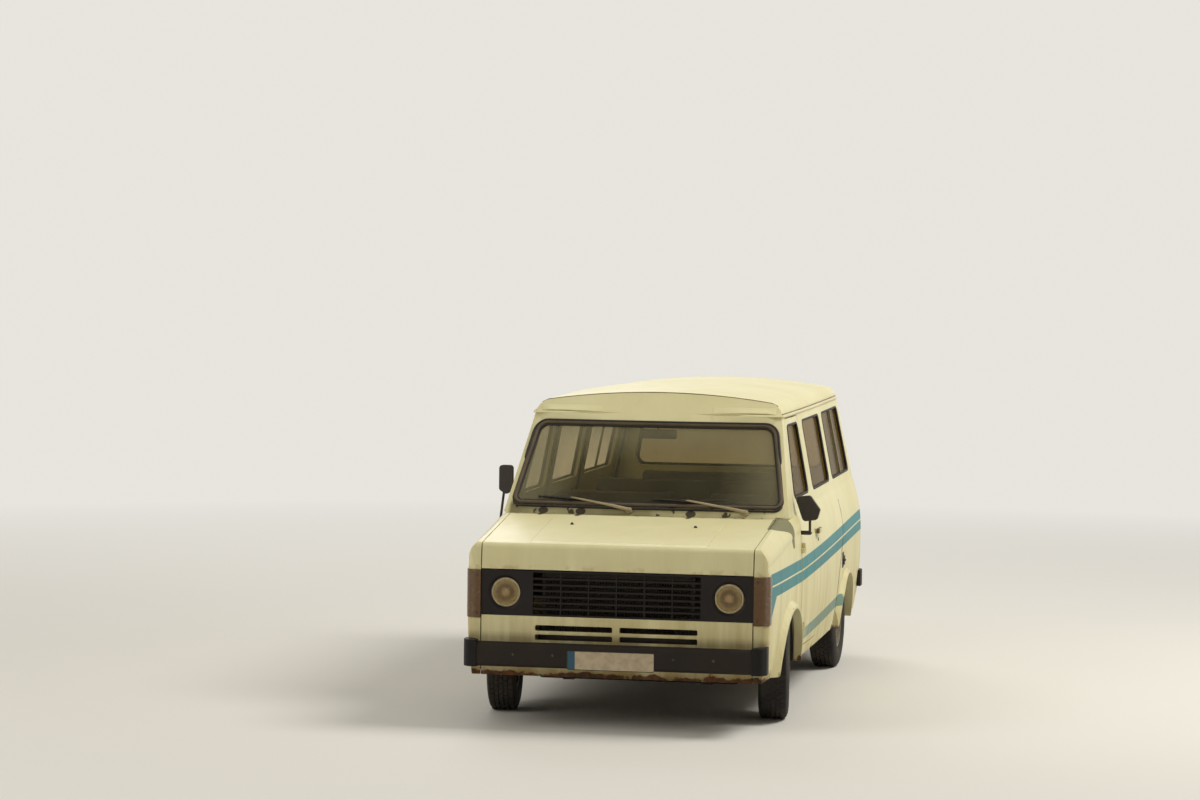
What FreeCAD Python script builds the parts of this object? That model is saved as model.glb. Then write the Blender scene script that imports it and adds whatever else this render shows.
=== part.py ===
import FreeCAD, Part
import math
import os

# Minibus with a short bonnet. Millimetres. The front faces -Y, the vehicle's left is +X, up is +Z.
# The origin is on the ground under the middle of the body.

V = FreeCAD.Vector

# Main stations along the vehicle
LENGTH = 4570.0
FRONT_BUMPER_Y = -LENGTH / 2
REAR_BUMPER_Y = LENGTH / 2
NOSE_Y = FRONT_BUMPER_Y + 95.0          # flat front face
TAIL_Y = REAR_BUMPER_Y - 85.0           # flat rear face below the belt
FRONT_AXLE_Y = NOSE_Y + 790.0
WHEELBASE = 2690.0
REAR_AXLE_Y = FRONT_AXLE_Y + WHEELBASE
CORNER_Y = TAIL_Y - 110.0               # joint between a side panel and the rear frame
SCREEN_BASE_Y = NOSE_Y + 895.0
SCREEN_TOP_Y = SCREEN_BASE_Y + 410.0
ROOF_SEAM_Y = SCREEN_TOP_Y + 118.0      # joint between the windscreen header and the roof
BULKHEAD_Y = SCREEN_BASE_Y + 55.0
DOOR_FRONT_Y = SCREEN_BASE_Y + 305.0
DOOR_REAR_Y = DOOR_FRONT_Y + 815.0
SIDE_DOOR_FRONT_Y = DOOR_REAR_Y + 75.0
SIDE_DOOR_REAR_Y = SIDE_DOOR_FRONT_Y + 990.0

# Heights
SILL_Z = 310.0
FLOOR_Z = 430.0
FLOOR_TOP_Z = FLOOR_Z + 30.0
WAIST_Z = 830.0
SHOULDER_Z = 1075.0
BELT_Z = 1235.0
GUTTER_Z = 1822.0
GUTTER_DEPTH = 14.0                     # drip rail along the roof's joint
GUTTER_REACH = 12.0
BONNET_LIP_Z = 942.0
BROW_Z = 1104.0
COWL_Z = 1214.0
CROWN_Z = 2100.0                        # above all of the body

# Walls and gaps
WALL = 40.0                             # doors and side walls
PANEL = 20.0                            # wings, bonnet and nose
SHUT_GAP = 8.0                          # shut line round a moving panel
DOOR_CLEARANCE = 6.0                    # between a door and what is fixed behind it
SEAT_GAP = 0.3                          # what seats on a neighbour without touching it
GLASS = 5.0
GLASS_DEPTH = 14.0                      # glass lies this far inside the skin

# Windscreen, as a slanted plane that bulges forward in the middle
SCREEN_TOP_Z = 1785.0
SCREEN_BULGE = 58.0
SCREEN_HALF = 880.0
# Corners of its opening. Columns: x, z, corner radius
SCREEN_OPENING = ((-862.0, 1256.0, 45.0), (862.0, 1256.0, 45.0),
                  (764.0, 1756.0, 80.0), (-764.0, 1756.0, 80.0))

# Body sections. Columns: y, half-width at the sill, waist, belt and gutter, height of the crown
REAR_BELT_HALF = 886.0
REAR_GUTTER_HALF = 760.0
BODY_SECTIONS = (
    (SCREEN_BASE_Y - 125.0, 898.0, 936.0, 884.0, 772.0, 1890.0),
    (SCREEN_BASE_Y + 795.0, 914.0, 958.0, 896.0, 786.0, 1958.0),
    (SIDE_DOOR_REAR_Y - 190.0, 914.0, 960.0, 896.0, 784.0, 1970.0),
    (TAIL_Y + 100.0, 902.0, 948.0, REAR_BELT_HALF, REAR_GUTTER_HALF, 1946.0),
)

# Nose sections. Columns: y, half-width at the sill and waist, height of the bonnet's edge
NOSE_SECTIONS = (
    (NOSE_Y - 110.0, 866.0, 902.0, 1092.0),
    (NOSE_Y + 390.0, 886.0, 926.0, 1142.0),
    (FRONT_AXLE_Y, 898.0, 938.0, 1192.0),
    (DOOR_FRONT_Y + 50.0, 906.0, 950.0, 1246.0),
)
NOSE_SHOULDER = 95.0                    # width of the wing's rounded top
NOSE_CORNER = 62.0                      # radius of the front corners in plan
NOSE_HALF = 906.0
FACE_HALF = 814.0                       # flat front between the wings' shut lines
FACE_TOP_HALF = 826.0                   # the same at the bonnet's rear edge
WING_GAP = 6.0
BONNET_RIB_HALF = 535.0                 # raised middle of the bonnet
BONNET_RIB_RISE = 4.0

# Grille and its surround
GRILLE_LOW = 666.0
GRILLE_TOP = 936.0
GRILLE_OPEN_HALF = 503.0
LAMP_X = 672.0
LAMP_Z = 802.0
LAMP_R = 89.0
SLOTS_X = (22.0, 488.0)                 # inner and outer end of the cooling slots
SLOTS_Z = (541.0, 596.0)
SLOT_HALF = 17.0
LENS_LOW = 648.0                        # corner indicators
LENS_TOP = 934.0
LENS_REAR_Y = NOSE_Y + 92.0

# Doors. Columns of an outline: y, z, slant of the shut face, corner radius
DOOR_BOTTOM = 380.0
DOOR_TOP = 1790.0
DOOR_SLANT = 0.30
HANDLE_Z = 1065.0
TAILGATE_BOTTOM = 600.0
TAILGATE_HALF_LOW = REAR_BELT_HALF - 74.0
TAILGATE_HALF_TOP = REAR_GUTTER_HALF - 70.0
TAIL_LEAN = 52.0                        # how far the tailgate's upper part leans forward

# Windows
WINDOW_LOW = 1300.0
WINDOW_TOP = 1752.0
WINDOW_CORNER = 42.0

# Wheels
TYRE_RADIUS = 326.0
TYRE_WIDTH = 185.0
RIM_RADIUS = 178.0
RIM_WIDTH = 140.0
RIM_HOLES = 10
RIM_HOLES_R = 130.0
RIM_HOLE_R = 11.0
FRONT_HALF_TRACK = 836.0
REAR_HALF_TRACK = 828.0
FRONT_ARCH = 390.0
REAR_ARCH = 362.0
LINER_Z = TYRE_RADIUS - 16.0            # centre of the round wheel housings
ARCH_Z = TYRE_RADIUS - 42.0             # centre of the openings in the skin
LINER = 8.0
FLARE = 34.0                            # the arch's lip stands out from the skin
FLARE_WIDTH = 36.0
KINGPIN_X = 722.0
PARKED_STEER = 7.0
STEER_ARM = 150.0
ROD_END_R = 14.0
SPINDLE_R = 20.0
AXLE_TUBE_R = 44.0
BACKPLATE_R = 135.0
BACKPLATE_INSET = 128.0                 # from the wheel's middle to the brake backplate
RUNNING_FIT = 0.05

BUMPER_BRACKETS = (-430.0, 430.0)
RAIL_X = 430.0                          # the frame's two long rails, above the leaf springs
CROSS_MEMBERS = (NOSE_Y + 230.0, FRONT_AXLE_Y + 280.0, SIDE_DOOR_FRONT_Y - 200.0, REAR_AXLE_Y - 670.0,
                 REAR_AXLE_Y + 430.0)
OUTRIGGERS = (DOOR_FRONT_Y + 390.0, SIDE_DOOR_FRONT_Y, SIDE_DOOR_FRONT_Y + 400.0, TAIL_Y - 300.0)

# Tow-bar bolt holes in the frame's rear plate
TOW_Z = 380.0
TOW_SPACING_X = 120.0
TOW_SPACING_Z = 56.0
TOW_HOLE_R = 8.5

# Hinges. The doors' pins stand just outside the skin, in the shut line
HINGE_X = 962.0
DOOR_HINGE_HEIGHTS = (520.0, 1010.0)
DOOR_HINGE_R = 8.0
BONNET_HINGE_R = 5.0
BONNET_GAP = 12.0                       # shut line between bonnet and cowl
BONNET_REAR_Y = SCREEN_BASE_Y - 54.0
BONNET_HINGE_Z = 1201.0

SAVED = {}


# Outlines and solids

def at_x(x):
    return lambda u, v: V(x, u, v)


def at_y(y):
    return lambda u, v: V(u, y, v)


def at_z(z):
    return lambda u, v: V(u, v, z)


def outline(points, place, radius=0.0):
    """Closed wire through (u, v) or (u, v, corner radius) points, with its corners rounded."""
    corners = []
    count = len(points)
    for i in range(count):
        here = points[i]
        r = here[2] if len(here) > 2 else radius
        p = V(here[0], here[1], 0)
        before = V(points[i - 1][0], points[i - 1][1], 0)
        after = V(points[(i + 1) % count][0], points[(i + 1) % count][1], 0)
        to_before = (before - p).normalize()
        to_after = (after - p).normalize()
        angle = to_before.getAngle(to_after)
        if r <= 0 or abs(math.pi - angle) < 0.02:
            corners.append((p, None, p))
            continue
        setback = r / math.tan(angle / 2)
        inward = (to_before + to_after).normalize()
        centre = p + inward * (r / math.sin(angle / 2))
        corners.append((p + to_before * setback, centre - inward * r, p + to_after * setback))
    edges = []
    for i in range(count):
        start, middle, end = corners[i]
        following = corners[(i + 1) % count][0]
        if middle is not None:
            a, b, c = [place(q.x, q.y) for q in (start, middle, end)]
            edges.append(Part.Arc(a, b, c).toShape())
        a, b = place(end.x, end.y), place(following.x, following.y)
        if a.distanceToPoint(b) > 1e-6:
            edges.append(Part.makeLine(a, b))
    return Part.Wire(edges)


def grown(points, distance):
    """The polygon with every side moved outward by a distance; further columns are kept."""
    count = len(points)
    area = sum(points[i - 1][0] * points[i][1] - points[i][0] * points[i - 1][1] for i in range(count))
    side = 1.0 if area > 0 else -1.0
    lines = []
    for i in range(count):
        (u0, v0), (u1, v1) = points[i][:2], points[(i + 1) % count][:2]
        length = math.hypot(u1 - u0, v1 - v0)
        nu, nv = side * (v1 - v0) / length, side * (u0 - u1) / length
        lines.append((nu, nv, nu * u0 + nv * v0 + distance))
    moved = []
    for i in range(count):
        a1, b1, c1 = lines[i - 1]
        a2, b2, c2 = lines[i]
        det = a1 * b2 - a2 * b1
        if abs(det) < 1e-4:
            u, v = points[i][0] + a2 * distance, points[i][1] + b2 * distance
        else:
            u, v = (c1 * b2 - c2 * b1) / det, (a1 * c2 - a2 * c1) / det
        moved.append((u, v) + tuple(points[i][2:]))
    return moved


def prism(wire, direction):
    return Part.Face(wire).extrude(direction)


def prism_x(points, x0, x1, radius=0.0):
    return prism(outline(points, at_x(x0), radius), V(x1 - x0, 0, 0))


def prism_y(points, y0, y1, radius=0.0):
    return prism(outline(points, at_y(y0), radius), V(0, y1 - y0, 0))


def prism_z(points, z0, z1, radius=0.0):
    return prism(outline(points, at_z(z0), radius), V(0, 0, z1 - z0))


def box(x0, x1, y0, y1, z0, z1):
    return Part.makeBox(x1 - x0, y1 - y0, z1 - z0, V(x0, y0, z0))


def rod(radius, start, end):
    a, b = V(*start), V(*end)
    return Part.makeCylinder(radius, (b - a).Length, a, b - a)


def mirrored(shape):
    return shape.mirror(V(0, 0, 0), V(1, 0, 0))


def joined(shapes):
    result = shapes[0]
    if len(shapes) > 1:
        result = result.fuse(shapes[1:])
    return result.removeSplitter()


def cut(shape, *tools):
    for tool in tools:
        shape = shape.cut(tool)
    return shape


def common(shape, *tools):
    for tool in tools:
        shape = shape.common(tool)
    return shape


def hinge(point, out, towards, radius, leaf=34.0, reach=30.0):
    """Barrel hinge with its pin. The moving leaf points 'towards', the fixed one the other way."""
    pin_r = radius / 2
    fixed = [Part.makeCylinder(radius, reach - 0.5, V(0, 0, -reach)),
             Part.makeCylinder(pin_r, reach, V(0, 0, -reach / 2)),
             box(-radius * 4.5, -1.0, -leaf, 0.0, -reach, -0.5)]
    moving = [Part.makeCylinder(radius, reach - 0.5, V(0, 0, 0.5)),
              box(-radius * 4.5, -1.0, 0.0, leaf, 0.5, reach)]
    bore = Part.makeCylinder(pin_r + RUNNING_FIT, reach + 2.0, V(0, 0, -1.0))
    notch = Part.makeCylinder(radius + 5.0, 2 * reach + 6.0, V(0, 0, -reach - 3.0))
    axis = V(*out).cross(V(*towards))
    frame = FreeCAD.Matrix(out[0], towards[0], axis.x, point[0], out[1], towards[1], axis.y, point[1],
                           out[2], towards[2], axis.z, point[2], 0, 0, 0, 1)
    fixed_leaf = fixed[0].fuse(fixed[1:])
    moving_leaf = moving[0].fuse(moving[1:]).cut(bore)
    return [shape.transformed(frame, True) for shape in (fixed_leaf, moving_leaf, notch)]


def hung(fixed, moving, hinges):
    """Fits each hinge's leaves to the fixed and the moving panel."""
    for fixed_leaf, moving_leaf, notch in hinges:
        fixed = fixed.cut(notch).fuse(fixed_leaf)
        moving = moving.cut(notch).fuse(moving_leaf)
    return fixed.removeSplitter(), moving.removeSplitter()


def door_hinges(front_y, side):
    axis_y = front_y - SHUT_GAP / 2
    return [hinge((HINGE_X * side, axis_y, z), (side, 0, 0), (0, 1, 0), DOOR_HINGE_R)
            for z in DOOR_HINGE_HEIGHTS]


def save(name, *shapes):
    solids = [solid for shape in shapes for solid in shape.Solids]
    shape = solids[0] if len(solids) == 1 else Part.makeCompound(solids)
    shape.exportStep("parts/" + name + ".step")
    SAVED[name] = shape
    print(name, len(solids), round(shape.Volume / 1e6, 3), shape.isValid())


# Outer forms, each drawn a distance inside the skin

def side_edges(y, sill, waist, inset):
    """Sill, bulge and waist of one side, as the points that both kinds of section share."""
    bottom = SILL_Z if inset == 0 else SILL_Z - 60.0
    return V(sill - inset, y, bottom), V(waist - 9.0 - inset, y, 560.0), V(waist - inset, y, WAIST_Z)


def flipped(p):
    return V(-p.x, p.y, p.z)


def symmetric_section(path, top_middle):
    """Closed wire from one side's path of (start, middle or None, end) edges."""
    edges = []
    for a, middle, b in path:
        edges.append(Part.makeLine(a, b) if middle is None else Part.Arc(a, middle, b).toShape())
    a = path[-1][2]
    if top_middle is None:
        edges.append(Part.makeLine(a, flipped(a)))
    else:
        edges.append(Part.Arc(a, top_middle, flipped(a)).toShape())
    for a, middle, b in reversed(path):
        p, q = flipped(b), flipped(a)
        edges.append(Part.makeLine(p, q) if middle is None else Part.Arc(p, flipped(middle), q).toShape())
    edges.append(Part.makeLine(flipped(path[0][0]), path[0][0]))
    return Part.Wire(edges)


def body_section(y, sill, waist, belt, gutter, crown, inset):
    foot, bulge, side = side_edges(y, sill, waist, inset)
    shoulder = V(waist - 17.0 - inset, y, SHOULDER_Z)
    at_belt = V(belt - inset, y, BELT_Z)
    at_gutter = V(gutter - inset, y, GUTTER_Z)
    roof_bend = V(gutter - 25.0 - inset * 0.9, y, GUTTER_Z + (crown - GUTTER_Z - inset * 0.6) * 0.36)
    roof_edge = V(gutter - 76.0 - inset * 0.6, y, GUTTER_Z + (crown - GUTTER_Z) * 0.56 - inset * 0.9)
    path = [(foot, bulge, side), (side, shoulder, at_belt), (at_belt, None, at_gutter),
            (at_gutter, roof_bend, roof_edge)]
    return symmetric_section(path, V(0, y, crown - inset))


def nose_section(y, sill, waist, edge, inset):
    foot, bulge, side = side_edges(y, sill, waist, inset)
    shoulder = V(waist - 12.0 - inset, y, edge - NOSE_SHOULDER - 25.0)
    turn = V(waist - 12.0 - NOSE_SHOULDER * 0.24 - inset, y, edge - NOSE_SHOULDER * 0.34 - inset * 0.8)
    top = V(waist - 12.0 - NOSE_SHOULDER, y, edge + 12.0 - inset)
    middle = V((side.x + shoulder.x) / 2 + 3.0, y, (side.z + shoulder.z) / 2)
    path = [(foot, bulge, side), (side, middle, shoulder), (shoulder, turn, top)]
    return symmetric_section(path, None)


def screen_prism(inset):
    """All that lies behind the windscreen's surface."""
    low, rise = 200.0, 1900.0
    slope = (SCREEN_TOP_Y - SCREEN_BASE_Y) / (SCREEN_TOP_Z - COWL_Z)
    steepness = math.sqrt(1 + slope * slope)
    middle_y = SCREEN_BASE_Y - (COWL_Z - low) * slope + inset * steepness
    edge_y = middle_y + SCREEN_BULGE * (1100.0 / SCREEN_HALF) ** 2
    a, b, c = V(-1100, edge_y, low), V(0, middle_y, low), V(1100, edge_y, low)
    back_y = 3200.0
    d, e = V(1100, back_y, low), V(-1100, back_y, low)
    wire = Part.Wire([Part.Arc(a, b, c).toShape(), Part.makeLine(c, d), Part.makeLine(d, e),
                      Part.makeLine(e, a)])
    return prism(wire, V(0, slope * rise, rise))


def tail_profile(inset):
    """Limits the body's rear and underside, seen from the side."""
    front_y, low, high = SCREEN_BASE_Y - 405.0, SILL_Z - 110.0, CROWN_Z - 40.0
    return prism_x([(front_y, low), (TAIL_Y - inset, low), (TAIL_Y - inset, BELT_Z),
                    (TAIL_Y - TAIL_LEAN - inset, GUTTER_Z + 20.0, 60.0), (TAIL_Y - 190.0 - inset, high, 0),
                    (front_y, high)], -1200, 1200)


def body_solid(inset):
    wires = [body_section(*row, inset) for row in BODY_SECTIONS]
    return common(Part.makeLoft(wires, True, False), screen_prism(inset), tail_profile(inset))


def nose_profile(inset):
    """The nose seen from the side: front face, brow and bonnet top."""
    top = [(NOSE_Y + 13.0 + inset, BROW_Z - 10.0 - inset * 0.9, 40.0)]
    slope = (COWL_Z - 6.0 - BROW_Z) / (SCREEN_BASE_Y - 60.0 - NOSE_Y - 60.0)
    far_y = DOOR_FRONT_Y + 90.0
    far_z = BROW_Z + (far_y - NOSE_Y - 60.0) * slope - inset
    return prism_x([(NOSE_Y + inset, 200), (NOSE_Y + inset, BONNET_LIP_Z)] + top
                   + [(far_y, far_z), (far_y, 200)], -1200, 1200)


def nose_plan(inset):
    half, corner = NOSE_HALF - inset, NOSE_CORNER - inset * 0.5
    far_y = DOOR_FRONT_Y + 90.0
    return prism_z([(-half, NOSE_Y + inset, corner), (half, NOSE_Y + inset, corner),
                    (half + 70.0, far_y), (-half - 70.0, far_y)], 150, 1500)


def nose_solid(inset):
    wires = [nose_section(*row, inset) for row in NOSE_SECTIONS]
    return common(Part.makeLoft(wires, True, False), nose_profile(inset), nose_plan(inset))


# Openings in the sides

def skin_x(z):
    """Half-width of the side's skin at a height, near the middle of the body."""
    if z <= BELT_Z:
        return 955.0 - 60.0 * max(0.0, (z - SHOULDER_Z) / (BELT_Z - SHOULDER_Z))
    return 895.0 - (895.0 - 785.0) * (z - BELT_Z) / (GUTTER_Z - BELT_Z)


def side_cutter(points, side=1.0):
    """Prism through one side of the body; a slanted shut face leans with depth."""
    outer_x, inner_x = 1150.0, 560.0
    wires = []
    for x in (outer_x, inner_x):
        flat = [(y - slant * (skin_x(z) - x), z, r) for y, z, slant, r in points]
        wires.append(outline(flat, at_x(x * side)))
    return Part.makeLoft(wires, True, True)


FRONT_DOOR_OUTLINE = (
    (DOOR_FRONT_Y, DOOR_BOTTOM, 0.0, 40.0),
    (DOOR_FRONT_Y, BELT_Z, 0.0, 200.0),
    (DOOR_FRONT_Y + 250.0, DOOR_TOP, 0.0, 60.0),
    (DOOR_REAR_Y, DOOR_TOP, DOOR_SLANT, 50.0),
    (DOOR_REAR_Y, BELT_Z, DOOR_SLANT, 0.0),
    (DOOR_REAR_Y, DOOR_BOTTOM, DOOR_SLANT, 40.0),
)
SIDE_DOOR_OUTLINE = (
    (SIDE_DOOR_FRONT_Y, DOOR_BOTTOM, 0.0, 40.0),
    (SIDE_DOOR_FRONT_Y, DOOR_TOP, 0.0, 50.0),
    (SIDE_DOOR_REAR_Y, DOOR_TOP, DOOR_SLANT, 50.0),
    (SIDE_DOOR_REAR_Y, BELT_Z, DOOR_SLANT, 0.0),
    (SIDE_DOOR_REAR_Y, DOOR_BOTTOM, DOOR_SLANT, 40.0),
)
FRONT_WINDOW = (
    (DOOR_FRONT_Y + 88.0, WINDOW_LOW), (DOOR_FRONT_Y + 290.0, WINDOW_TOP),
    (DOOR_REAR_Y - 62.0, WINDOW_TOP), (DOOR_REAR_Y - 62.0, WINDOW_LOW),
)


def rectangle(u0, u1, v0, v1):
    return ((u0, v0), (u1, v0), (u1, v1), (u0, v1))


MIDDLE_WINDOW_LEFT = rectangle(SIDE_DOOR_FRONT_Y + 90.0, SIDE_DOOR_REAR_Y - 20.0, WINDOW_LOW, WINDOW_TOP)
MIDDLE_WINDOW_RIGHT = rectangle(SIDE_DOOR_FRONT_Y + 75.0, SIDE_DOOR_REAR_Y - 70.0, WINDOW_LOW, WINDOW_TOP)
REAR_WINDOW_SIDE = rectangle(SIDE_DOOR_REAR_Y + 160.0, TAIL_Y - 170.0, WINDOW_LOW, WINDOW_TOP)


def window_prism(points, side, grow=0.0, radius=WINDOW_CORNER):
    return prism_x(grown(points, grow), 560.0 * side, 1150.0 * side, radius + grow)


# Body shell and its panels

def shut(points, side, gap):
    moved = grown([(y, z, slant, r + gap) for y, z, slant, r in points], gap)
    return side_cutter(moved, side)


def make_body():
    """Shells of the cabin, of its window glass and of the nose."""
    shell = body_solid(0.0).cut(body_solid(WALL))
    rail = body_solid(-GUTTER_REACH).cut(body_solid(WALL / 2))
    rail = rail.common(box(-1300.0, 1300.0, SCREEN_TOP_Y + 30.0, TAIL_Y - 90.0,
                           GUTTER_Z - GUTTER_DEPTH, GUTTER_Z))
    shell = joined([shell, rail])
    glass_shell = body_solid(GLASS_DEPTH).cut(body_solid(GLASS_DEPTH + GLASS))
    nose_shell = nose_solid(0.0).cut(nose_solid(PANEL))
    return shell, glass_shell, nose_shell


def tunnel(axle_y, z, radius, side, x0=520.0, x1=1150.0):
    """Cylinder across one side of the body, about an axle's line."""
    return rod(radius, (x0 * side, axle_y, z), (x1 * side, axle_y, z))


def arch(axle_y, radius, side):
    """Round wheel opening through the skin of one side."""
    return tunnel(axle_y, ARCH_Z, radius, side)


def flare(outer, inner, axle_y, radius, side):
    """Lip of a wheel opening: a ring that stands out from the skin and slopes back to it."""
    x0, x1 = 880.0, 1000.0
    slope = FLARE_WIDTH / FLARE
    skin_radius = radius + FLARE_WIDTH + 4.0
    r0 = skin_radius + (945.0 - x0) * slope
    r1 = skin_radius - (x1 - 945.0) * slope
    cone = Part.makeCone(r0, r1, x1 - x0, V(x0 * side, axle_y, ARCH_Z), V(side, 0, 0))
    return outer.cut(inner).common(cone)


def far_side(side):
    x0, x1 = sorted((0.0, 1300.0 * side))
    return box(x0, x1, -3000.0, 3000.0, 0.0, 3000.0)


def make_sides(shell, glass_shell, wings):
    side_front_y = DOOR_FRONT_Y - SHUT_GAP
    rear_glass = []
    flare_outer, flare_inner = body_solid(-FLARE), body_solid(WALL / 2)
    lip_region = box(-1300.0, 1300.0, SIDE_DOOR_REAR_Y + SHUT_GAP + 2.0, CORNER_Y, SILL_Z, 800.0)
    for side, name in ((1.0, "left"), (-1.0, "right")):
        half = shell.common(far_side(side))
        region = box(-1300.0, 1300.0, side_front_y, CORNER_Y, 250.0, GUTTER_Z)
        panel = half.common(region)
        pillar = box(-1300.0, 1300.0, -2000.0, ROOF_SEAM_Y + SEAT_GAP, BELT_Z - 60.0, 1900.0)
        lip = flare(flare_outer, flare_inner, REAR_AXLE_Y, REAR_ARCH, side)
        panel = joined([panel, lip.common(lip_region)])
        door_space = shut(FRONT_DOOR_OUTLINE, side, SHUT_GAP)
        panel = cut(panel, door_space, pillar, arch(REAR_AXLE_Y, REAR_ARCH, side))
        door = half.common(side_cutter(FRONT_DOOR_OUTLINE, side))
        door = door.cut(window_prism(FRONT_WINDOW, side))
        handle = door_handle(DOOR_REAR_Y - 115.0, HANDLE_Z, side)
        wing, door = hung(wings[name], joined([door, handle]), door_hinges(DOOR_FRONT_Y, side))
        save("wing_" + name, wing)
        save("door_" + name, door)
        pane = glass_shell.common(window_prism(FRONT_WINDOW, side, -SEAT_GAP))
        save("door_glass_" + name, pane)
        windows = [REAR_WINDOW_SIDE]
        if side > 0:
            windows.append(MIDDLE_WINDOW_LEFT)
        else:
            panel = panel.cut(shut(SIDE_DOOR_OUTLINE, side, SHUT_GAP))
            side_door = half.common(side_cutter(SIDE_DOOR_OUTLINE, side))
            side_door = side_door.cut(window_prism(MIDDLE_WINDOW_RIGHT, side))
            side_door = joined([side_door, door_handle(SIDE_DOOR_REAR_Y - 110.0, HANDLE_Z, side)])
            panel, side_door = hung(panel, side_door, door_hinges(SIDE_DOOR_FRONT_Y, side))
            save("side_door", side_door)
            save("side_door_glass", glass_shell.common(window_prism(MIDDLE_WINDOW_RIGHT, side, -SEAT_GAP)))
        for window in windows:
            panel = panel.cut(window_prism(window, side))
            rear_glass.append(glass_shell.common(window_prism(window, side, -SEAT_GAP)))
        save("side_" + name, panel)
    save("side_glass", *rear_glass)
    roof = shell.common(box(-1300.0, 1300.0, ROOF_SEAM_Y + SEAT_GAP, 2600.0, GUTTER_Z + SEAT_GAP, CROWN_Z))
    save("roof", roof)
    rear = shell.common(box(-1300.0, 1300.0, CORNER_Y + SEAT_GAP, 2600.0, 250.0, GUTTER_Z))
    make_tail(rear, glass_shell)


def tailgate_outline(grow):
    return grown([(-TAILGATE_HALF_LOW, TAILGATE_BOTTOM, 50.0), (TAILGATE_HALF_LOW, TAILGATE_BOTTOM, 50.0),
                  (TAILGATE_HALF_LOW, BELT_Z, 0.0), (TAILGATE_HALF_TOP, DOOR_TOP, 60.0),
                  (-TAILGATE_HALF_TOP, DOOR_TOP, 60.0), (-TAILGATE_HALF_LOW, BELT_Z, 0.0)], grow)


def make_tail(rear, glass_shell):
    y0, y1 = TAIL_Y - 200.0, TAIL_Y + 100.0
    low_half, top_half, top_z = TAILGATE_HALF_LOW - 122.0, TAILGATE_HALF_TOP - 70.0, WINDOW_TOP - 36.0
    window = ((-low_half, WINDOW_LOW), (low_half, WINDOW_LOW), (top_half, top_z), (-top_half, top_z))
    frame = rear.cut(prism_y(tailgate_outline(SHUT_GAP), y0, y1))
    frame = frame.cut(box(-480.0, 480.0, y0, y1, 200.0, 440.0))
    gate = rear.common(prism_y(tailgate_outline(0.0), y0, y1)).cut(prism_y(window, y0, y1, 60.0))
    root_y, grip_y = TAIL_Y - 5.0, TAIL_Y + 26.0
    handle = prism_x([(root_y, HANDLE_Z - 55.0), (grip_y, HANDLE_Z - 49.0), (grip_y, HANDLE_Z - 21.0),
                      (root_y, HANDLE_Z - 15.0)], -70.0, 70.0, 5.0)
    top_y = TAIL_Y - TAIL_LEAN * (DOOR_TOP + 6.0 - BELT_Z) / (GUTTER_Z + 20.0 - BELT_Z)
    hinges = [hinge((x, top_y + 4.0, DOOR_TOP + SHUT_GAP / 2), (0, 1, 0), (0, 0, -1), DOOR_HINGE_R, 22.0)
              for x in (-450.0, 450.0)]
    frame, gate = hung(frame, joined([gate, handle]), hinges)
    save("rear_frame", frame)
    save("tailgate", gate)
    save("tailgate_glass", glass_shell.common(prism_y(grown(window, -SEAT_GAP), y0, y1, 60.0)))


def door_handle(y, z, side):
    x = skin_x(z)
    points = [(x - 30.0, y - 70.0), (x + 26.0, y - 62.0), (x + 26.0, y + 55.0), (x - 30.0, y + 62.0)]
    return prism_z([(u * side, v) for u, v in points], z - 14.0, z + 14.0, 8.0)


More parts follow.
